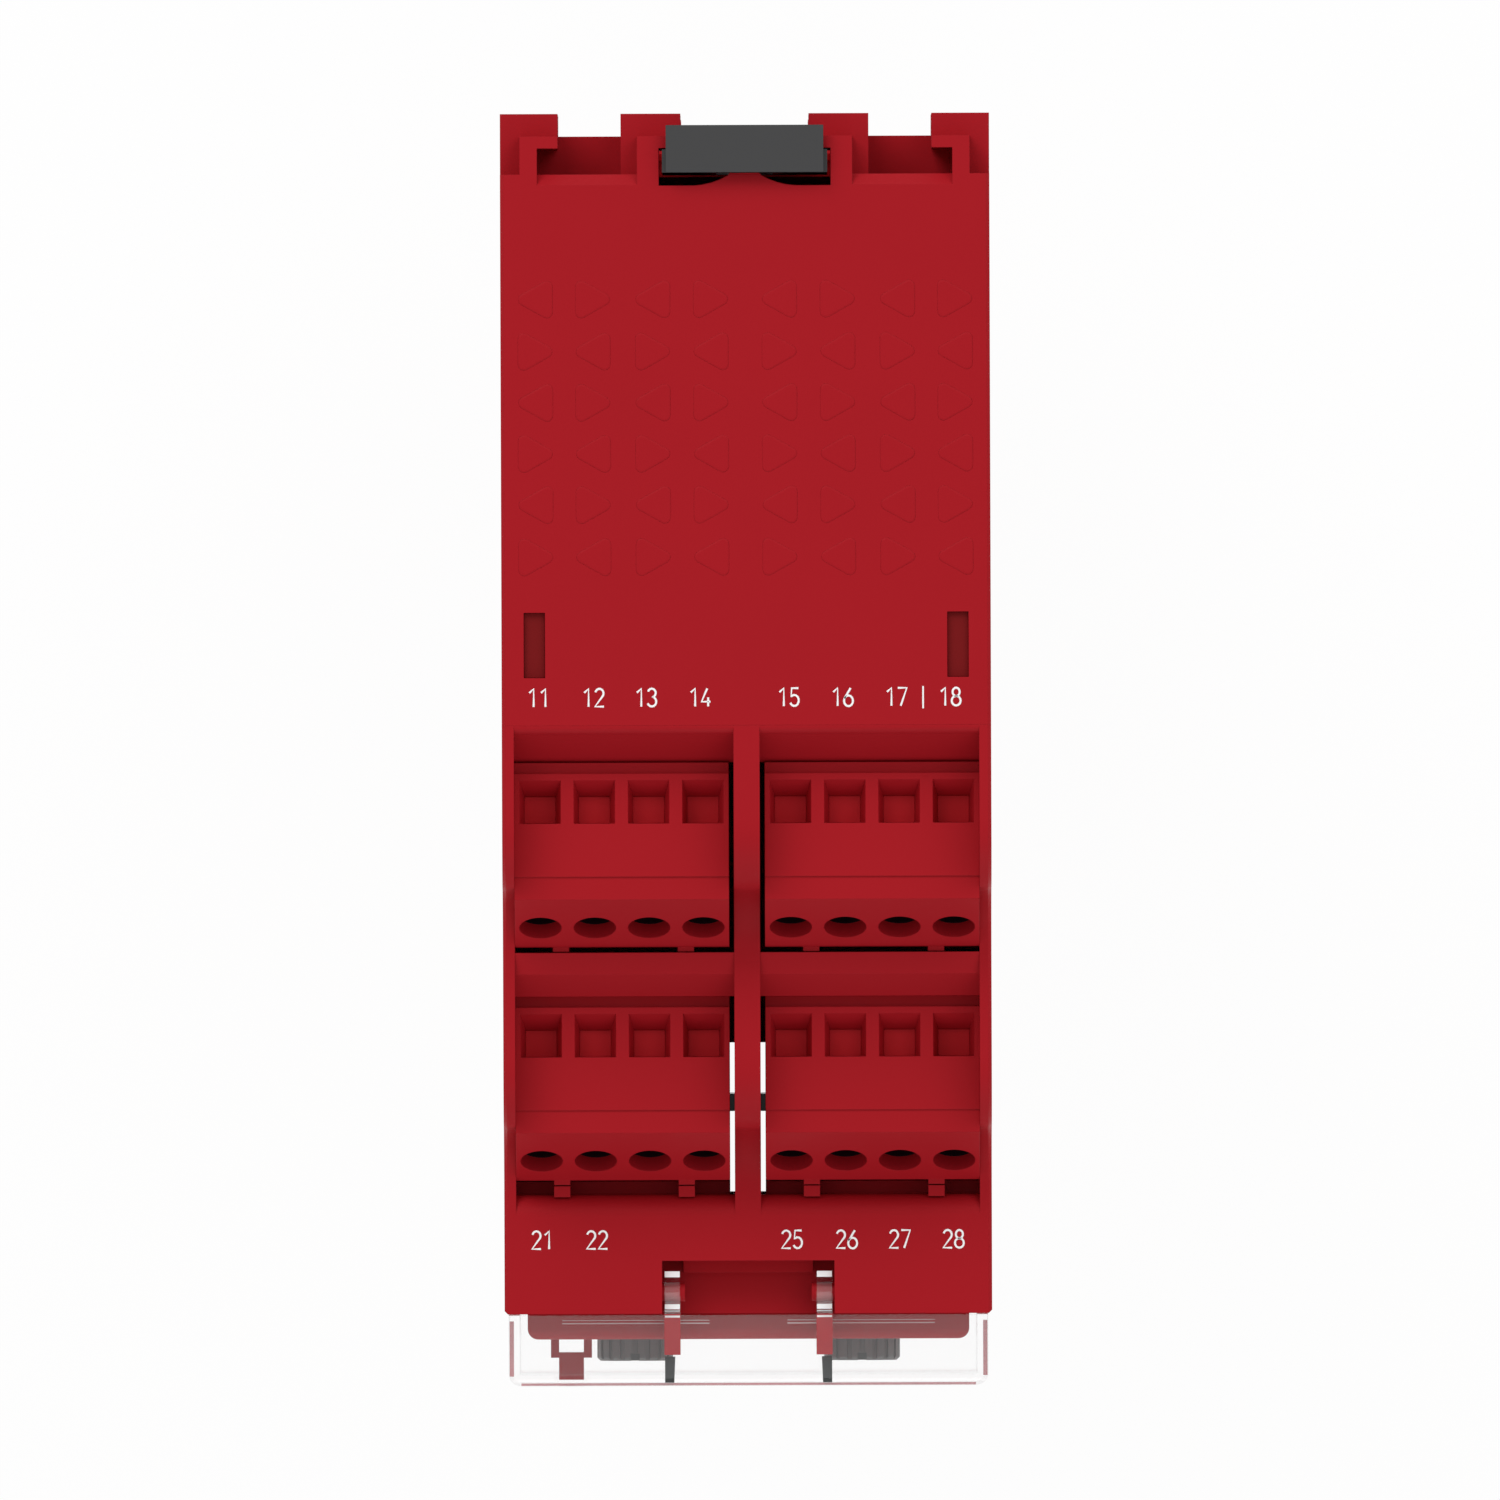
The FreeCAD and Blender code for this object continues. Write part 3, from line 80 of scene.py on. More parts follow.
class Shades:
    """One material's node tree, with short calls for the nodes that the finishes share."""

    def __init__(self, name):
        self.material = bpy.data.materials.new(name)
        self.material.use_nodes = True
        self.nodes = self.material.node_tree.nodes
        self.links = self.material.node_tree.links
        self.nodes.clear()

    def add(self, kind, **values):
        """A node, with its inputs set by name (spaces written as underscores)."""
        made = self.nodes.new(kind)
        for name, value in values.items():
            made.inputs[name.replace("_", " ")].default_value = value
        return made

    def noise(self, size, detail=2.0, stretch=(1, 1, 1)):
        """Noise whose features are about size metres across, in the piece's own coordinates."""
        where = self.nodes.new("ShaderNodeTexCoord").outputs["Object"]
        mapping = self.add("ShaderNodeMapping", Scale=stretch)
        self.links.new(where, mapping.inputs["Vector"])
        made = self.add("ShaderNodeTexNoise", Scale=1.0 / size, Detail=detail)
        self.links.new(mapping.outputs["Vector"], made.inputs["Vector"])
        return made.outputs["Fac"]

    def between(self, source, low, high):
        """Noise spread over low..high."""
        made = self.add("ShaderNodeMapRange", From_Min=NOISE_LOW, From_Max=NOISE_HIGH,
                        To_Min=low, To_Max=high)
        self.links.new(source, made.inputs["Value"])
        return made.outputs["Result"]

    def uneven(self, colour, amount, source):
        """The colour, a little darker and lighter from place to place."""
        made = self.nodes.new("ShaderNodeMix")
        made.data_type = "RGBA"
        for side, factor in (("A", 1 - amount), ("B", 1 + amount)):
            made.inputs[side].default_value = (*[min(1.0, c * factor) for c in colour], 1)
        self.links.new(source, made.inputs["Factor"])
        return made.outputs["Result"]

    def grain(self, source, strength, depth, edge):
        """A bump from noise, on edges that are rounded by the radius edge."""
        bump = self.add("ShaderNodeBump", Strength=strength, Distance=depth)
        self.links.new(source, bump.inputs["Height"])
        if edge:
            bevel = self.add("ShaderNodeBevel", Radius=edge)
            bevel.samples = 4
            self.links.new(bevel.outputs["Normal"], bump.inputs["Normal"])
        return bump.outputs["Normal"]

    def mix(self, share, first, second):
        """Two shaders mixed by a number or a socket."""
        made = self.nodes.new("ShaderNodeMixShader")
        if isinstance(share, float):
            made.inputs["Fac"].default_value = share
        else:
            self.links.new(share, made.inputs["Fac"])
        self.links.new(first, made.inputs[1])
        self.links.new(second, made.inputs[2])
        return made.outputs["Shader"]

    def finished(self, shader):
        """The material, with this shader as its surface."""
        out = self.nodes.new("ShaderNodeOutputMaterial")
        self.links.new(shader, out.inputs["Surface"])
        return self.material


def moulded(name, colour, rough=0.45, grain=0.3 * MM, strength=0.3, edge=0.1 * MM,
            specular=0.3, metallic=0.0, coat=0.0, stretch=(1, 1, 1)):
    """Plastic or metal: slow colour change, uneven gloss, fine grain and soft edges."""
    shades = Shades(name)
    links = shades.links
    shader = shades.add("ShaderNodeBsdfPrincipled", Metallic=metallic, Specular_IOR_Level=specular,
                        Coat_Weight=coat)
    tone = shades.uneven(colour, COLOUR_VARY, shades.noise(COLOUR_PATCH, detail=3.0))
    links.new(tone, shader.inputs["Base Color"])
    gloss = shades.between(shades.noise(GLOSS_PATCH, detail=4.0), rough - GLOSS_VARY, rough + GLOSS_VARY)
    links.new(gloss, shader.inputs["Roughness"])
    normal = shades.grain(shades.noise(grain, stretch=stretch), strength, GRAIN_DEPTH, edge)
    links.new(normal, shader.inputs["Normal"])
    return shades.finished(shader.outputs["BSDF"])


def clear_plastic(name, haze):
    """Clear moulding: light goes straight through, with a mirror's gloss and a slight veil.

    Where light leaves the plastic the index is inverted, or the Fresnel node would find total
    reflection there and darken the inside.
    """
    shades = Shades(name)
    links = shades.links
    through = shades.add("ShaderNodeBsdfTransparent", Color=(1, 1, 1, 1))
    veil = shades.add("ShaderNodeBsdfPrincipled", Base_Color=(0.88, 0.89, 0.9, 1))
    links.new(shades.between(shades.noise(5 * MM), 0.25, 0.35), veil.inputs["Roughness"])
    gloss = shades.add("ShaderNodeBsdfGlossy", Color=(0.96, 0.96, 0.96, 1))
    links.new(shades.between(shades.noise(GLOSS_PATCH), 0.03, 0.07), gloss.inputs["Roughness"])
    backfacing = shades.nodes.new("ShaderNodeNewGeometry").outputs["Backfacing"]
    index = shades.add("ShaderNodeMapRange", To_Min=CLEAR_INDEX, To_Max=1 / CLEAR_INDEX)
    links.new(backfacing, index.inputs["Value"])
    fresnel = shades.nodes.new("ShaderNodeFresnel")
    links.new(index.outputs["Result"], fresnel.inputs["IOR"])
    ripple = shades.noise(2.5 * MM, detail=1.0)
    normal = shades.grain(ripple, strength=0.1, depth=0.015 * MM, edge=0.15 * MM)
    for node in (veil, gloss, fresnel):
        links.new(normal, node.inputs["Normal"])
    hazy = shades.mix(haze, through.outputs["BSDF"], veil.outputs["BSDF"])
    return shades.finished(shades.mix(fresnel.outputs["Fac"], hazy, gloss.outputs["BSDF"]))


def painted_light_clear(name, colour, density):
    """Clear plastic with painted light in it: it shows the colour of what is beside it as a painted
    reflection, and density 1 hides what is behind.
    """
    shades = Shades(name)
    through = shades.add("ShaderNodeBsdfTransparent", Color=(1, 1, 1, 1))
    shader = shades.add("ShaderNodeBsdfPrincipled", Specular_IOR_Level=0.3)
    tone = shades.uneven(colour, amount=0.08, source=shades.noise(1.5 * MM))
    shades.links.new(tone, shader.inputs["Base Color"])
    shades.links.new(shades.between(shades.noise(2 * MM), 0.15, 0.25), shader.inputs["Roughness"])
    return shades.finished(shades.mix(density, through.outputs["BSDF"], shader.outputs["BSDF"]))


# ---- the CAD nodes' finishes, by material slot ----------------------------------

RED = (0.365, 0.0093, 0.0152)
PLUG_RED = (0.372, 0.0093, 0.0152)
finish = {
    "housing": moulded("red_housing", RED, rough=0.5, specular=0.06),
    "plug": moulded("red_plug", PLUG_RED, rough=0.45, strength=0.2, specular=0.07),
    "clip": moulded("grey_clip", (0.056, 0.056, 0.057), rough=0.5, specular=0.12),
    "knob": moulded("grey_knob", (0.105, 0.107, 0.105), rough=0.42),
    "clear_cover": clear_plastic("clear_cover", haze=0.01),
    "light_guide": moulded("light_guide", (0.62, 0.64, 0.62), rough=0.25),
    "lamp": moulded("lamp", (0.72, 0.72, 0.6), rough=0.35),
    "spring_steel": moulded("spring_steel", (0.55, 0.55, 0.56), rough=0.3, metallic=1.0,
                            stretch=(1, 1, 12)),
    "screw": moulded("zinc_screw", (0.5, 0.5, 0.49), rough=0.36, metallic=1.0, grain=0.2 * MM),
    "clamp": moulded("plated_clamp", (0.52, 0.52, 0.5), rough=0.4, metallic=1.0),
    "contact": moulded("tinned_contact", (0.6, 0.55, 0.42), rough=0.35, metallic=1.0),
    "header": moulded("black_header", (0.02, 0.02, 0.022), rough=0.5),
    "switch_case": moulded("black_switch", (0.022, 0.022, 0.024)),
    "board": moulded("green_board", (0.012, 0.07, 0.035), rough=0.35, grain=0.5 * MM, coat=0.3),
    "relay_case": moulded("relay_case", (0.045, 0.05, 0.06), rough=0.4),
    "core": moulded("core", (0.08, 0.07, 0.06), rough=0.5, grain=0.5 * MM, stretch=(1, 1, 8)),
    "can": moulded("can_sleeve", (0.05, 0.06, 0.12), rough=0.3, coat=0.3),
}

slots = {row["node"]: row["material_slot"] for row in frame["record"]["subparts"]}
for name, node in frame["nodes"].items():
    node.data.materials.clear()
    node.data.materials.append(finish[slots[name]])


# ---- the finishes of the pieces made here ---------------------------------------

white_print = moulded("white_print", (0.95, 0.95, 0.95), rough=0.6, strength=0.1, edge=0.0)
# painted light: the shutters in the wire entries are a red lighter than the plug's
shutter_painted_light_red = moulded("shutter_painted_light_red", (0.48, 0.014, 0.02), rough=0.5, specular=0.06)
# painted shade: a darker copy of the housing red, for the latches' windows
latch_painted_shade_red = moulded("latch_painted_shade_red", (0.18, 0.008, 0.009), rough=0.5, specular=0.06)
# painted shade: black sleeves for the dark depth of the screw bores
bore_painted_shade = moulded("bore_painted_shade", (0.012, 0.003, 0.005), rough=0.6, specular=0.1)
# painted highlights: white lines of light on the clear cover and on its hinge arms
glint = painted_light_clear("cover_glint", (0.92, 0.8, 0.8), density=0.6)
arm_glint = painted_light_clear("cover_arm_glint", (1.0, 1.0, 1.0), density=0.97)
# painted reflections in the clear cover: the housing's red in the hinge arms, rose at the cover's edges,
# and the grey knob as a dark strip
red_painted_reflection = painted_light_clear("cover_red_tint", (0.39, 0.018, 0.025), density=0.97)
rose_painted_reflection = painted_light_clear("cover_rose_tint", (0.55, 0.16, 0.18), density=0.6)
dark_painted_reflection = painted_light_clear("cover_dark_tint", (0.035, 0.04, 0.04), density=0.9)


# ---- small solids ---------------------------------------------------------------

def block(low, high):
    """A box between two corners, as one shape for solids()."""
    rings = [[(low[0], low[1], z), (high[0], low[1], z), (high[0], high[1], z), (low[0], high[1], z)]
             for z in (low[2], high[2])]
    return rings, False


def solids(name, shapes, material, body):
    """One mesh of solids, each given in millimetres by its rings and whether the rings form a loop."""
    mesh = bpy.data.meshes.new(name)
    builder = bmesh.new()
    for rings, looped in shapes:
        made = [[builder.verts.new(Vector(point) * MM) for point in ring] for ring in rings]
        count = len(rings[0])
        following = made[1:] + made[:1] if looped else made[1:]
        for ring, after in zip(made, following):
            for i in range(count):
                j = (i + 1) % count
                builder.faces.new((ring[i], ring[j], after[j], after[i]))
        if not looped:
            builder.faces.new(made[0])
            builder.faces.new(made[-1])
    bmesh.ops.recalc_face_normals(builder, faces=builder.faces)
    builder.to_mesh(mesh)
    builder.free()
    mesh.materials.append(material)
    piece = bpy.data.objects.new(name, mesh)
    scene.collection.objects.link(piece)
    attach(piece, body)
    return piece


# ---- white print ----------------------------------------------------------------

def bow(centre, reach, start, end, steps=10):
    """Points along part of an ellipse, with angles in degrees."""
    turns = [math.radians(start + (end - start) * i / steps) for i in range(steps + 1)]
    return [(centre[0] + reach[0] * math.cos(t), centre[1] + reach[1] * math.sin(t)) for t in turns]


# each sign's strokes, in a box that is SIGN_WIDE wide and 1 high
STROKES = {
    "1": [[(0.06, 0.78), (0.3, 1.0), (0.3, 0.0)]],
    "2": [bow((0.25, 0.74), (0.23, 0.26), 165, -30) + [(0.0, 0.0), (0.5, 0.0)]],
    "3": [bow((0.23, 0.76), (0.22, 0.24), 160, -80) + bow((0.23, 0.27), (0.25, 0.27), 80, -160)],
    "4": [[(0.32, 1.0), (0.0, 0.26), (0.5, 0.26)], [(0.37, 0.5), (0.37, 0.0)]],
    "5": [[(0.46, 1.0), (0.09, 1.0), (0.05, 0.54)] + bow((0.23, 0.31), (0.25, 0.31), 125, -155)],
    "6": [[(0.37, 1.0)] + bow((0.25, 0.28), (0.25, 0.3), 155, 515, 16)],
    "7": [[(0.0, 1.0), (0.5, 1.0), (0.16, 0.0)]],
    "8": [bow((0.25, 0.76), (0.2, 0.24), -90, 270, 14), bow((0.25, 0.27), (0.25, 0.27), 90, 450, 16)],
    "|": [[(0.25, 1.1), (0.25, -0.15)]],
}
SIGN_WIDE = 0.5
SIGN_PITCH = 0.66
PRINT_THICK = 0.012

# how a sign is turned to lie on a face that looks this way
UP = Matrix.Identity(4)
DOWN = Matrix.Rotation(math.pi, 4, "Y")
FORWARD = Matrix.Rotation(math.pi / 2, 4, "X")


def words(text):
    """The strokes of a few signs, centred on the origin."""
    start = -(SIGN_PITCH * (len(text) - 1) + SIGN_WIDE) / 2
    return [[(start + SIGN_PITCH * i + x, y - 0.5) for x, y in points]
            for i, sign in enumerate(text) for points in STROKES[sign]]


def printed(name, strokes, place, turn, high, stroke):
    """Flat white strokes on the housing, scaled to high and centred on a place in millimetres."""
    curve = bpy.data.curves.new(name, "CURVE")
    curve.dimensions = "3D"
    curve.bevel_depth = stroke / 2 * MM
    curve.bevel_resolution = 1
    curve.use_fill_caps = True
    for points in strokes:
        line = curve.splines.new("POLY")
        line.points.add(len(points) - 1)
        for point, (x, y) in zip(line.points, points):
            point.co = (x * high * MM, y * high * MM, 0, 1)
    curve.materials.append(white_print)
    made = bpy.data.objects.new(name, curve)
    scene.collection.objects.link(made)
    flat = Matrix.Diagonal((1, 1, PRINT_THICK / stroke, 1))
    made.matrix_world = Matrix.Translation(Vector(place) * MM) @ turn @ flat
    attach(made, "housing")


# ---- numbers beside the plugs ---------------------------------------------------

LETTER_HIGH = 1.64
LETTER_STROKE = 0.21
BAR_STROKE = LETTER_STROKE * 0.8
# where each of the top face's numbers stands across the relay
REAR_NUMBERS = {11: -19.1, 12: -14.05, 13: -9.2, 14: -4.25, 15: 3.9, 16: 8.85, 17: 13.8, 18: 18.75}
FRONT_NUMBERS = {21: -19.0, 22: -13.95, 25: 4.05, 26: 9.1, 27: 14.0, 28: 18.95}
REAR_PRINT_Y, FRONT_PRINT_Y = -48.72, -98.75
BAR_X = 16.25
BOTTOM_NUMBERS_ADD = 20


def plug_numbers(face, sign, turn, add):
    """One face's numbers at both rows of plugs, with a bar before the rear row's last one."""
    rows = (("rear", REAR_NUMBERS, REAR_PRINT_Y, TOP_LEVEL),
            ("front", FRONT_NUMBERS, FRONT_PRINT_Y, LABEL_LEVEL))
    for row, numbers, y, level in rows:
        for number, x in numbers.items():
            text = str(number + add)
            printed(f"print_{face}_{row}_{text}", words(text), (x, y, level * sign), turn,
                    LETTER_HIGH, LETTER_STROKE)
    printed(f"print_{face}_rear_bar", words("|"), (BAR_X, REAR_PRINT_Y, TOP_LEVEL * sign), turn,
            LETTER_HIGH, BAR_STROKE)


plug_numbers("top", 1, UP, 0)
plug_numbers("bottom", -1, DOWN, BOTTOM_NUMBERS_ADD)


# ---- relief on the top and bottom faces -----------------------------------------

RELIEF_X = (-19.3, -14.0, -8.5, -3.15, 3.15, 8.5, 14.0, 19.3)
RELIEF_Y = (-12.1, -16.9, -21.6, -26.3, -31.0, -35.8)
RELIEF_ROOT = 0.02
RELIEF_HIGH = 0.03
RELIEF_EDGE = 0.18
TRIANGLE_LONG, TRIANGLE_WIDE = 3.2, 3.6
CORNER_ROUND = 0.55
CORNER_STEPS = 4
# the round corners' centres lie this share of the way to the tips, all shifted back a little
CENTRE_SHARE, CENTRE_SHIFT = 0.66, 0.02


def rounded_triangle(way, inset):
    """Points round a triangle that points along way, with round corners."""
    tips = ((TRIANGLE_LONG / 2 * way, 0.0),
            (-TRIANGLE_LONG / 2 * way, TRIANGLE_WIDE / 2),
            (-TRIANGLE_LONG / 2 * way, -TRIANGLE_WIDE / 2))
    centres = [(x * CENTRE_SHARE - CENTRE_SHIFT * way, y * CENTRE_SHARE) for x, y in tips]
    radius = CORNER_ROUND - inset
    points = []
    for i, (x, y) in enumerate(centres):
        before, after = centres[i - 1], centres[(i + 1) % 3]
        start = math.atan2(-(x - before[0]) * way, (y - before[1]) * way)
        end = math.atan2(-(after[0] - x) * way, (after[1] - y) * way)
        sweep = (end - start) % (2 * math.pi)
        if sweep > math.pi:
            sweep -= 2 * math.pi
        for step in range(CORNER_STEPS + 1):
            angle = start + sweep * step / CORNER_STEPS
            points.append((x + radius * math.cos(angle), y + radius * math.sin(angle)))
    return points


def relief(name, sign):
    """All the shallow triangles of one face in one mesh, pointing left and right by turns."""
    shapes = []
    levels = ((0.0, -RELIEF_ROOT), (0.0, 0.0), (RELIEF_EDGE, RELIEF_HIGH))
    for row, y in enumerate(RELIEF_Y):
        for column, x in enumerate(RELIEF_X):
            way = -1 if (row + column) % 2 == 0 else 1
            rings = [[(x + u, y + v, (TOP_LEVEL + rise) * sign) for u, v in rounded_triangle(way, inset)]
                     for inset, rise in levels]
            shapes.append((rings, False))
    solids(name, shapes, finish["housing"], "housing")


relief("relief_top", 1)
relief("relief_bottom", -1)


# ---- the latches' windows -------------------------------------------------------

WINDOW_LOW, WINDOW_HIGH = (18.52, -46.88), (20.43, -40.92)
# the dark plates of painted shade in the windows lie at this level and are this thick
LATCH_LEVEL = 48.93
LATCH_THICK = 0.04


def latch_window_shade(face, sign):
    """Painted shade: a thin dark plate in each of a face's two windows, over the snap noses' ends, for
    the shade down in the window.
    """
    plates = [block((WINDOW_LOW[0] * way, WINDOW_LOW[1], LATCH_LEVEL * sign),
                    (WINDOW_HIGH[0] * way, WINDOW_HIGH[1], (LATCH_LEVEL + LATCH_THICK) * sign))
              for way in (1, -1)]
    solids(f"latch_window_shade_{face}", plates, latch_painted_shade_red, "housing")


latch_window_shade("top", 1)
latch_window_shade("bottom", -1)


# ---- inside the plugs' openings -------------------------------------------------

POLES, POLE_PITCH = 4, 5.0
# the plug's front bevel rises by this over this depth
BEVEL_RISE, BEVEL_DEEP = 7.85, 4.4
BEVEL_TILT = math.atan2(BEVEL_RISE, BEVEL_DEEP)
# a screw bore's mouth, from the plug's rear and below its crown
BORE_FROM_REAR, BORE_DROP = 15.2, 4.79
# the dark sleeve that paints shade in each bore: its radii, and where it starts and ends along the bore
LINING_OUTSIDE, LINING_INSIDE = 1.945, 1.915
LINING_START, LINING_END = 1.45, 4.5
LINING_STEPS = 32
# a wire entry, from the plug's rear, and its shutter's two faces below the crown
ENTRY_BACK, ENTRY_FRONT, ENTRY_WIDE = 3.11, 5.59, 2.88
SHUTTER_TOP, SHUTTER_FOOT = 2.35, 2.75


def bore_shade_lining(x, rear, crown, sign):
    """A thin dark sleeve in a screw bore, square to the plug's bevel, as one shape for solids(): painted
    shade for the bore's dark depth.
    """
    rings = []
    for radius, depth in ((LINING_OUTSIDE, LINING_START), (LINING_OUTSIDE, LINING_END),
                          (LINING_INSIDE, LINING_END), (LINING_INSIDE, LINING_START)):
        ring = []
        for step in range(LINING_STEPS):
            turn = math.radians(360 * step / LINING_STEPS)
            across, along = radius * math.cos(turn), radius * math.sin(turn)
            back = along * math.cos(BEVEL_TILT) + depth * math.sin(BEVEL_TILT)
            up = along * math.sin(BEVEL_TILT) - depth * math.cos(BEVEL_TILT)
            ring.append((x + across, rear - BORE_FROM_REAR + back, crown + (up - BORE_DROP) * sign))
        rings.append(ring)
    return rings, True


def dressed_plug(place):
    """Shutters in a plug's wire entries, in a red lighter than the plug's as painted light on them, and
    dark sleeves in its screw bores as painted shade for their dark depth.
    """
    low, high = box_mm(f"plug_{place}")
    sign = 1 if place.startswith("top") else -1
    crown = high.z if sign == 1 else low.z
    middle = (low.x + high.x) / 2
    shutters, linings = [], []
    for i in range(POLES):
        x = middle + POLE_PITCH * (i - (POLES - 1) / 2)
        shutters.append(block((x - ENTRY_WIDE / 2, high.y - ENTRY_FRONT, crown - SHUTTER_FOOT * sign),
                              (x + ENTRY_WIDE / 2, high.y - ENTRY_BACK, crown - SHUTTER_TOP * sign)))
        linings.append(bore_shade_lining(x, high.y, crown, sign))
    solids(f"shutters_{place}", shutters, shutter_painted_light_red, f"{place}_plug")
    solids(f"bore_linings_{place}", linings, bore_painted_shade, f"{place}_plug")


for face in ("top", "bottom"):
    for row in ("rear", "front"):
        for side in ("left", "right"):
            dressed_plug(f"{face}_{row}_{side}")


# ---- what shows in the clear cover ----------------------------------------------

COVER_TOP = 19.4
cover_front = box_mm("front_cover")[0].y
# a hinge arm's sides, from the middle, and the outline (y, z) of its front, where the housing's red is
# painted in as a reflection
ARM_IN, ARM_OUT = 6.33, 7.72
ARM_SKIN = 0.05
ARM_OUTLINE = ((-105.6, 19.5), (-105.6, 23.22), (-109.42, 20.43), (-109.42, 19.5))
# painted highlights across an arm, as bands: back edge, depth and level
ARM_BANDS = ((-101.67, 0.55, 24.08), (-104.71, 0.46, 23.86), (-105.3, 0.08, 23.42), (-105.75, 0.2, 23.1))
BAND_THICK = 0.3
# the dark strip from an arm to the cover's front, a painted reflection of the grey knob: its width at
# each end and its levels
SHADE_BACK, SHADE_FRONT = -109.6, cover_front + 0.3
SHADE_WIDE_BACK, SHADE_WIDE_FRONT = 0.95, 0.85
SHADE_LEVELS = (COVER_TOP - 0.95, COVER_TOP - 0.1)
# two fine painted highlights along the top of each half, as thin beads: back edge and depth
BEADS = ((-106.2, 0.06), (-106.46, 0.1))
BEAD_START, BEAD_END = 3.6, 17.2
BEAD_RISE = 0.02
# painted reflections of the red housing at the cover's side edges and along its front
SIDE_REFLECTION = ((21.68, -111.4, 17.0), (22.08, -106.3, 17.8))
FRONT_REFLECTION = ((-21.0, cover_front + 0.03, 17.8), (21.0, cover_front + 0.27, 18.15))


def cover_half(side, way):
    """The painted reflections and painted highlights on one half of the cover and on its hinge arm."""

    def across(x, y, z):
        return (x * way, y, z)

    arm = [[across(x, y, z) for y, z in ARM_OUTLINE] for x in (ARM_IN - ARM_SKIN, ARM_OUT + ARM_SKIN)]
    solids(f"cover_arm_painted_reflection_{side}", [(arm, False)], red_painted_reflection, "cover")
    bands = [block(across(ARM_IN, back - deep, level - BAND_THICK), across(ARM_OUT, back, level))
             for back, deep, level in ARM_BANDS]
    solids(f"cover_arm_highlights_{side}", bands, arm_glint, "cover")
    strip = ((ARM_OUT, SHADE_BACK), (ARM_OUT - SHADE_WIDE_BACK, SHADE_BACK),
             (ARM_OUT - SHADE_WIDE_FRONT, SHADE_FRONT), (ARM_OUT, SHADE_FRONT))
    shade = [[across(x, y, level) for x, y in strip] for level in SHADE_LEVELS]
    solids(f"cover_arm_knob_reflection_{side}", [(shade, False)], dark_painted_reflection, "cover")
    beads = [block(across(BEAD_START, back - deep, COVER_TOP - BEAD_RISE),
                   across(BEAD_END, back, COVER_TOP + BEAD_RISE))
             for back, deep in BEADS]
    solids(f"cover_highlight_beads_{side}", beads, glint, "cover")
    edge = block(*[across(*corner) for corner in SIDE_REFLECTION])
    solids(f"cover_side_painted_reflection_{side}", [edge], rose_painted_reflection, "cover")


cover_half("left", -1)
cover_half("right", 1)
solids("cover_front_painted_reflection", [block(*FRONT_REFLECTION)], rose_painted_reflection, "cover")


# ---- marks on the front panel ---------------------------------------------------

# the light guides stand this far out of the panel
GUIDE_OUT = 0.1
panel_y = box_mm("light_guides")[0].y + GUIDE_OUT
TICKS = 10
TICK_REACH = (4.3, 5.1)
TICK_START, TICK_SWEEP = 240, 300
TICK_STROKE = 0.2
LIGHTS_ACROSS = 4
LIGHT_WIDE = 2.3
# the levels of the numbers above the upper lights and below the lower ones
LIGHT_NUMBER_LEVELS = (-1.2, -10.4)
LIGHT_NUMBER_HIGH, LIGHT_NUMBER_STROKE = 1.2, 0.18


def knob_ticks(side):
    """Short strokes round a knob, with a gap below it."""
    low, high = box_mm(f"knob_{side}")
    centre = (low + high) / 2
    ticks = []
    for i in range(TICKS):
        angle = math.radians(TICK_START - TICK_SWEEP * i / (TICKS - 1))
        ticks.append([(reach * math.cos(angle), reach * math.sin(angle)) for reach in TICK_REACH])
    printed(f"print_ticks_{side}", ticks, (centre.x, panel_y, centre.z), FORWARD, 1.0, TICK_STROKE)


def light_numbers():
    """A number at each of the lights."""
    low, high = box_mm("light_guides")
    first = low.x + LIGHT_WIDE / 2
    pitch = (high.x - low.x - LIGHT_WIDE) / (LIGHTS_ACROSS - 1)
    for i in range(LIGHTS_ACROSS):
        for row, level in enumerate(LIGHT_NUMBER_LEVELS):
            text = str(i + 1 + LIGHTS_ACROSS * row)
            printed(f"print_light_{text}", words(text), (first + pitch * i, panel_y, level), FORWARD,
                    LIGHT_NUMBER_HIGH, LIGHT_NUMBER_STROKE)


knob_ticks("left")
knob_ticks("right")
light_numbers()


# ---- floor and world ------------------------------------------------------------

FLOOR_REACH = 4.0
FLOOR_GREY = 0.9
# how much of the floor glows white where it is seen, so that little shadow is left
FLOOR_SHINE = 0.95
# the bottom plugs are pulled down by this much, and the floor stays clear of them
PLUG_TRAVEL = 26 * MM
FLOOR_GAP = 1 * MM
WORLD_LEVEL = 0.6


def seen_directly(nodes, links):
    """1 for rays that see the background straight, in a mirror or through glass."""
    path = nodes.new("ShaderNodeLightPath")
    value = path.outputs["Is Camera Ray"]
    for other in ("Is Glossy Ray", "Is Transmission Ray"):
        both = nodes.new("ShaderNodeMath")
        both.operation = "MAXIMUM"
        links.new(value, both.inputs[0])
        links.new(path.outputs[other], both.inputs[1])
        value = both.outputs["Value"]
    return value


def floor_material():
    """White as the backdrop, with a little of the object's shadow left in it."""
    shades = Shades("floor")
    plain = shades.add("ShaderNodeBsdfDiffuse", Color=(FLOOR_GREY, FLOOR_GREY, FLOOR_GREY, 1))
    shine = shades.add("ShaderNodeEmission", Strength=1.0)
    share = shades.nodes.new("ShaderNodeMath")
    share.operation = "MULTIPLY"
    share.inputs[1].default_value = FLOOR_SHINE
    shades.links.new(seen_directly(shades.nodes, shades.links), share.inputs[0])
    mixed = shades.mix(share.outputs["Value"], plain.outputs["BSDF"], shine.outputs["Emission"])
    return shades.finished(mixed)


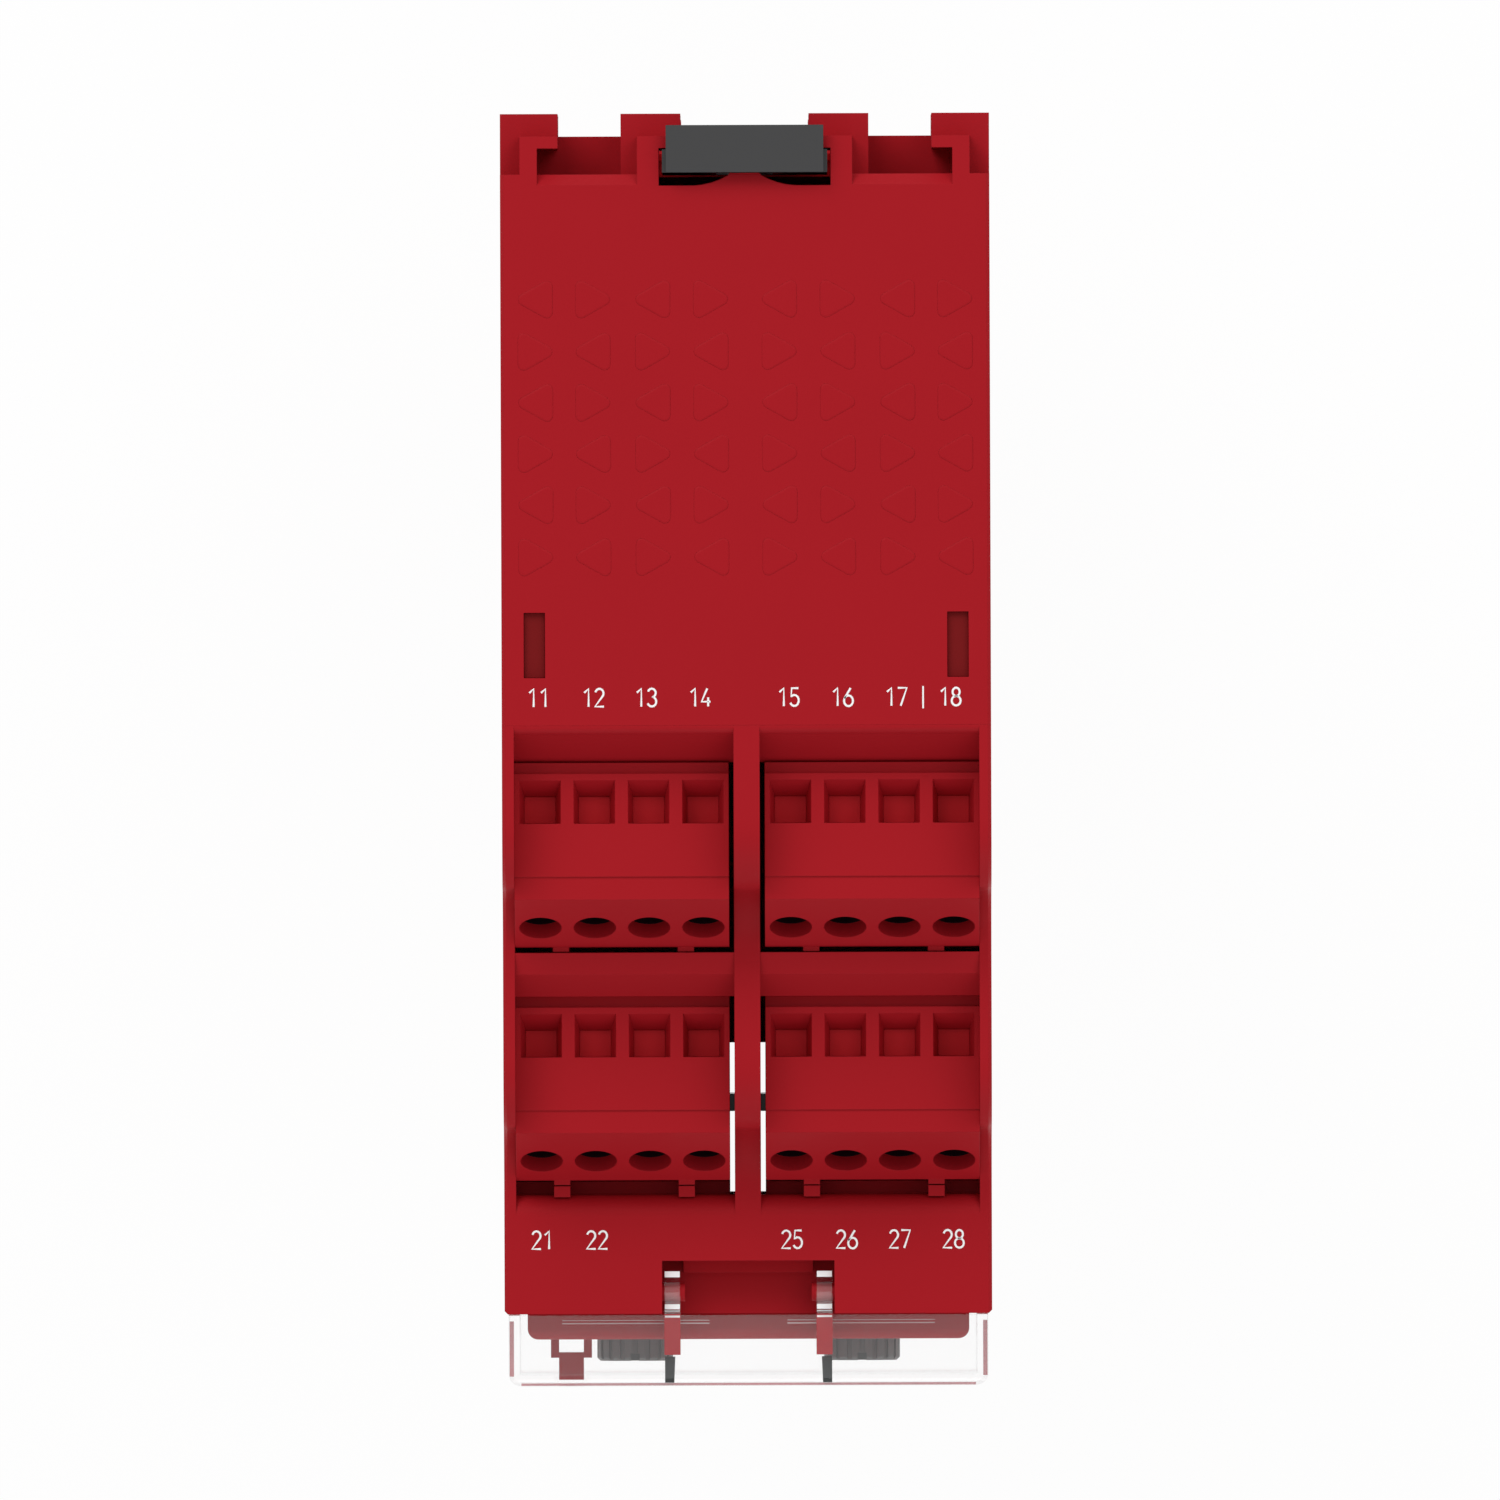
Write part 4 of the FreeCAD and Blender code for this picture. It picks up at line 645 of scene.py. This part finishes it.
floor_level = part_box("plug_bottom_rear_left")[0].z - PLUG_TRAVEL - FLOOR_GAP
floor_mesh = bpy.data.meshes.new("floor")
corners = [(x * FLOOR_REACH, y * FLOOR_REACH, floor_level)
           for x, y in ((-1, -1), (1, -1), (1, 1), (-1, 1))]
floor_mesh.from_pydata(corners, [], [(0, 1, 2, 3)])
floor_mesh.materials.append(floor_material())
floor = bpy.data.objects.new("floor", floor_mesh)
scene.collection.objects.link(floor)

world = bpy.data.worlds.new("studio")
scene.world = world
world.use_nodes = True
world_nodes, world_links = world.node_tree.nodes, world.node_tree.links
level = world_nodes.new("ShaderNodeMapRange")
level.inputs["To Min"].default_value = WORLD_LEVEL
level.inputs["To Max"].default_value = 1.0
world_links.new(seen_directly(world_nodes, world_links), level.inputs["Value"])
world_links.new(level.outputs["Result"], world_nodes["Background"].inputs["Strength"])
world_nodes["Background"].inputs["Color"].default_value = (1, 1, 1, 1)


# ---- lamps and camera -----------------------------------------------------------

def area_lamp(name, place, size, watts):
    """A soft square lamp that faces the middle of the object."""
    lamp = bpy.data.lights.new(name, "AREA")
    lamp.size = size
    lamp.energy = watts
    made = bpy.data.objects.new(name, lamp)
    scene.collection.objects.link(made)
    made.location = place
    aim = Vector((0, cad_low.y / 2, 0)) - made.location
    made.rotation_euler = aim.to_track_quat("-Z", "Y").to_euler()


area_lamp("key", place=(-0.63, 1.1, 1.1), size=0.9, watts=11.0)
area_lamp("fill", place=(0.72, 0.8, 1.1), size=0.9, watts=4.6)
area_lamp("front", place=(0.1, -1.35, 0.6), size=0.8, watts=3.4)

# the camera looks straight down, and sees PICTURE_WIDE at PICTURE_LEVEL
CAMERA_AWAY = 6.4
CAMERA_OVER = (0.32 * MM, -53.57 * MM)
CAMERA_TURN = -0.0034
PICTURE_WIDE = 138.17 * MM
PICTURE_LEVEL = 38 * MM
camera = bpy.data.objects.new("camera", bpy.data.cameras.new("camera"))
scene.collection.objects.link(camera)
scene.camera = camera
camera.data.sensor_width = 36.0
camera.data.lens = camera.data.sensor_width * CAMERA_AWAY / PICTURE_WIDE
camera.data.clip_start = 0.1
camera.data.clip_end = 20.0
camera.location = (*CAMERA_OVER, PICTURE_LEVEL + CAMERA_AWAY)
camera.rotation_euler = (0, 0, CAMERA_TURN)
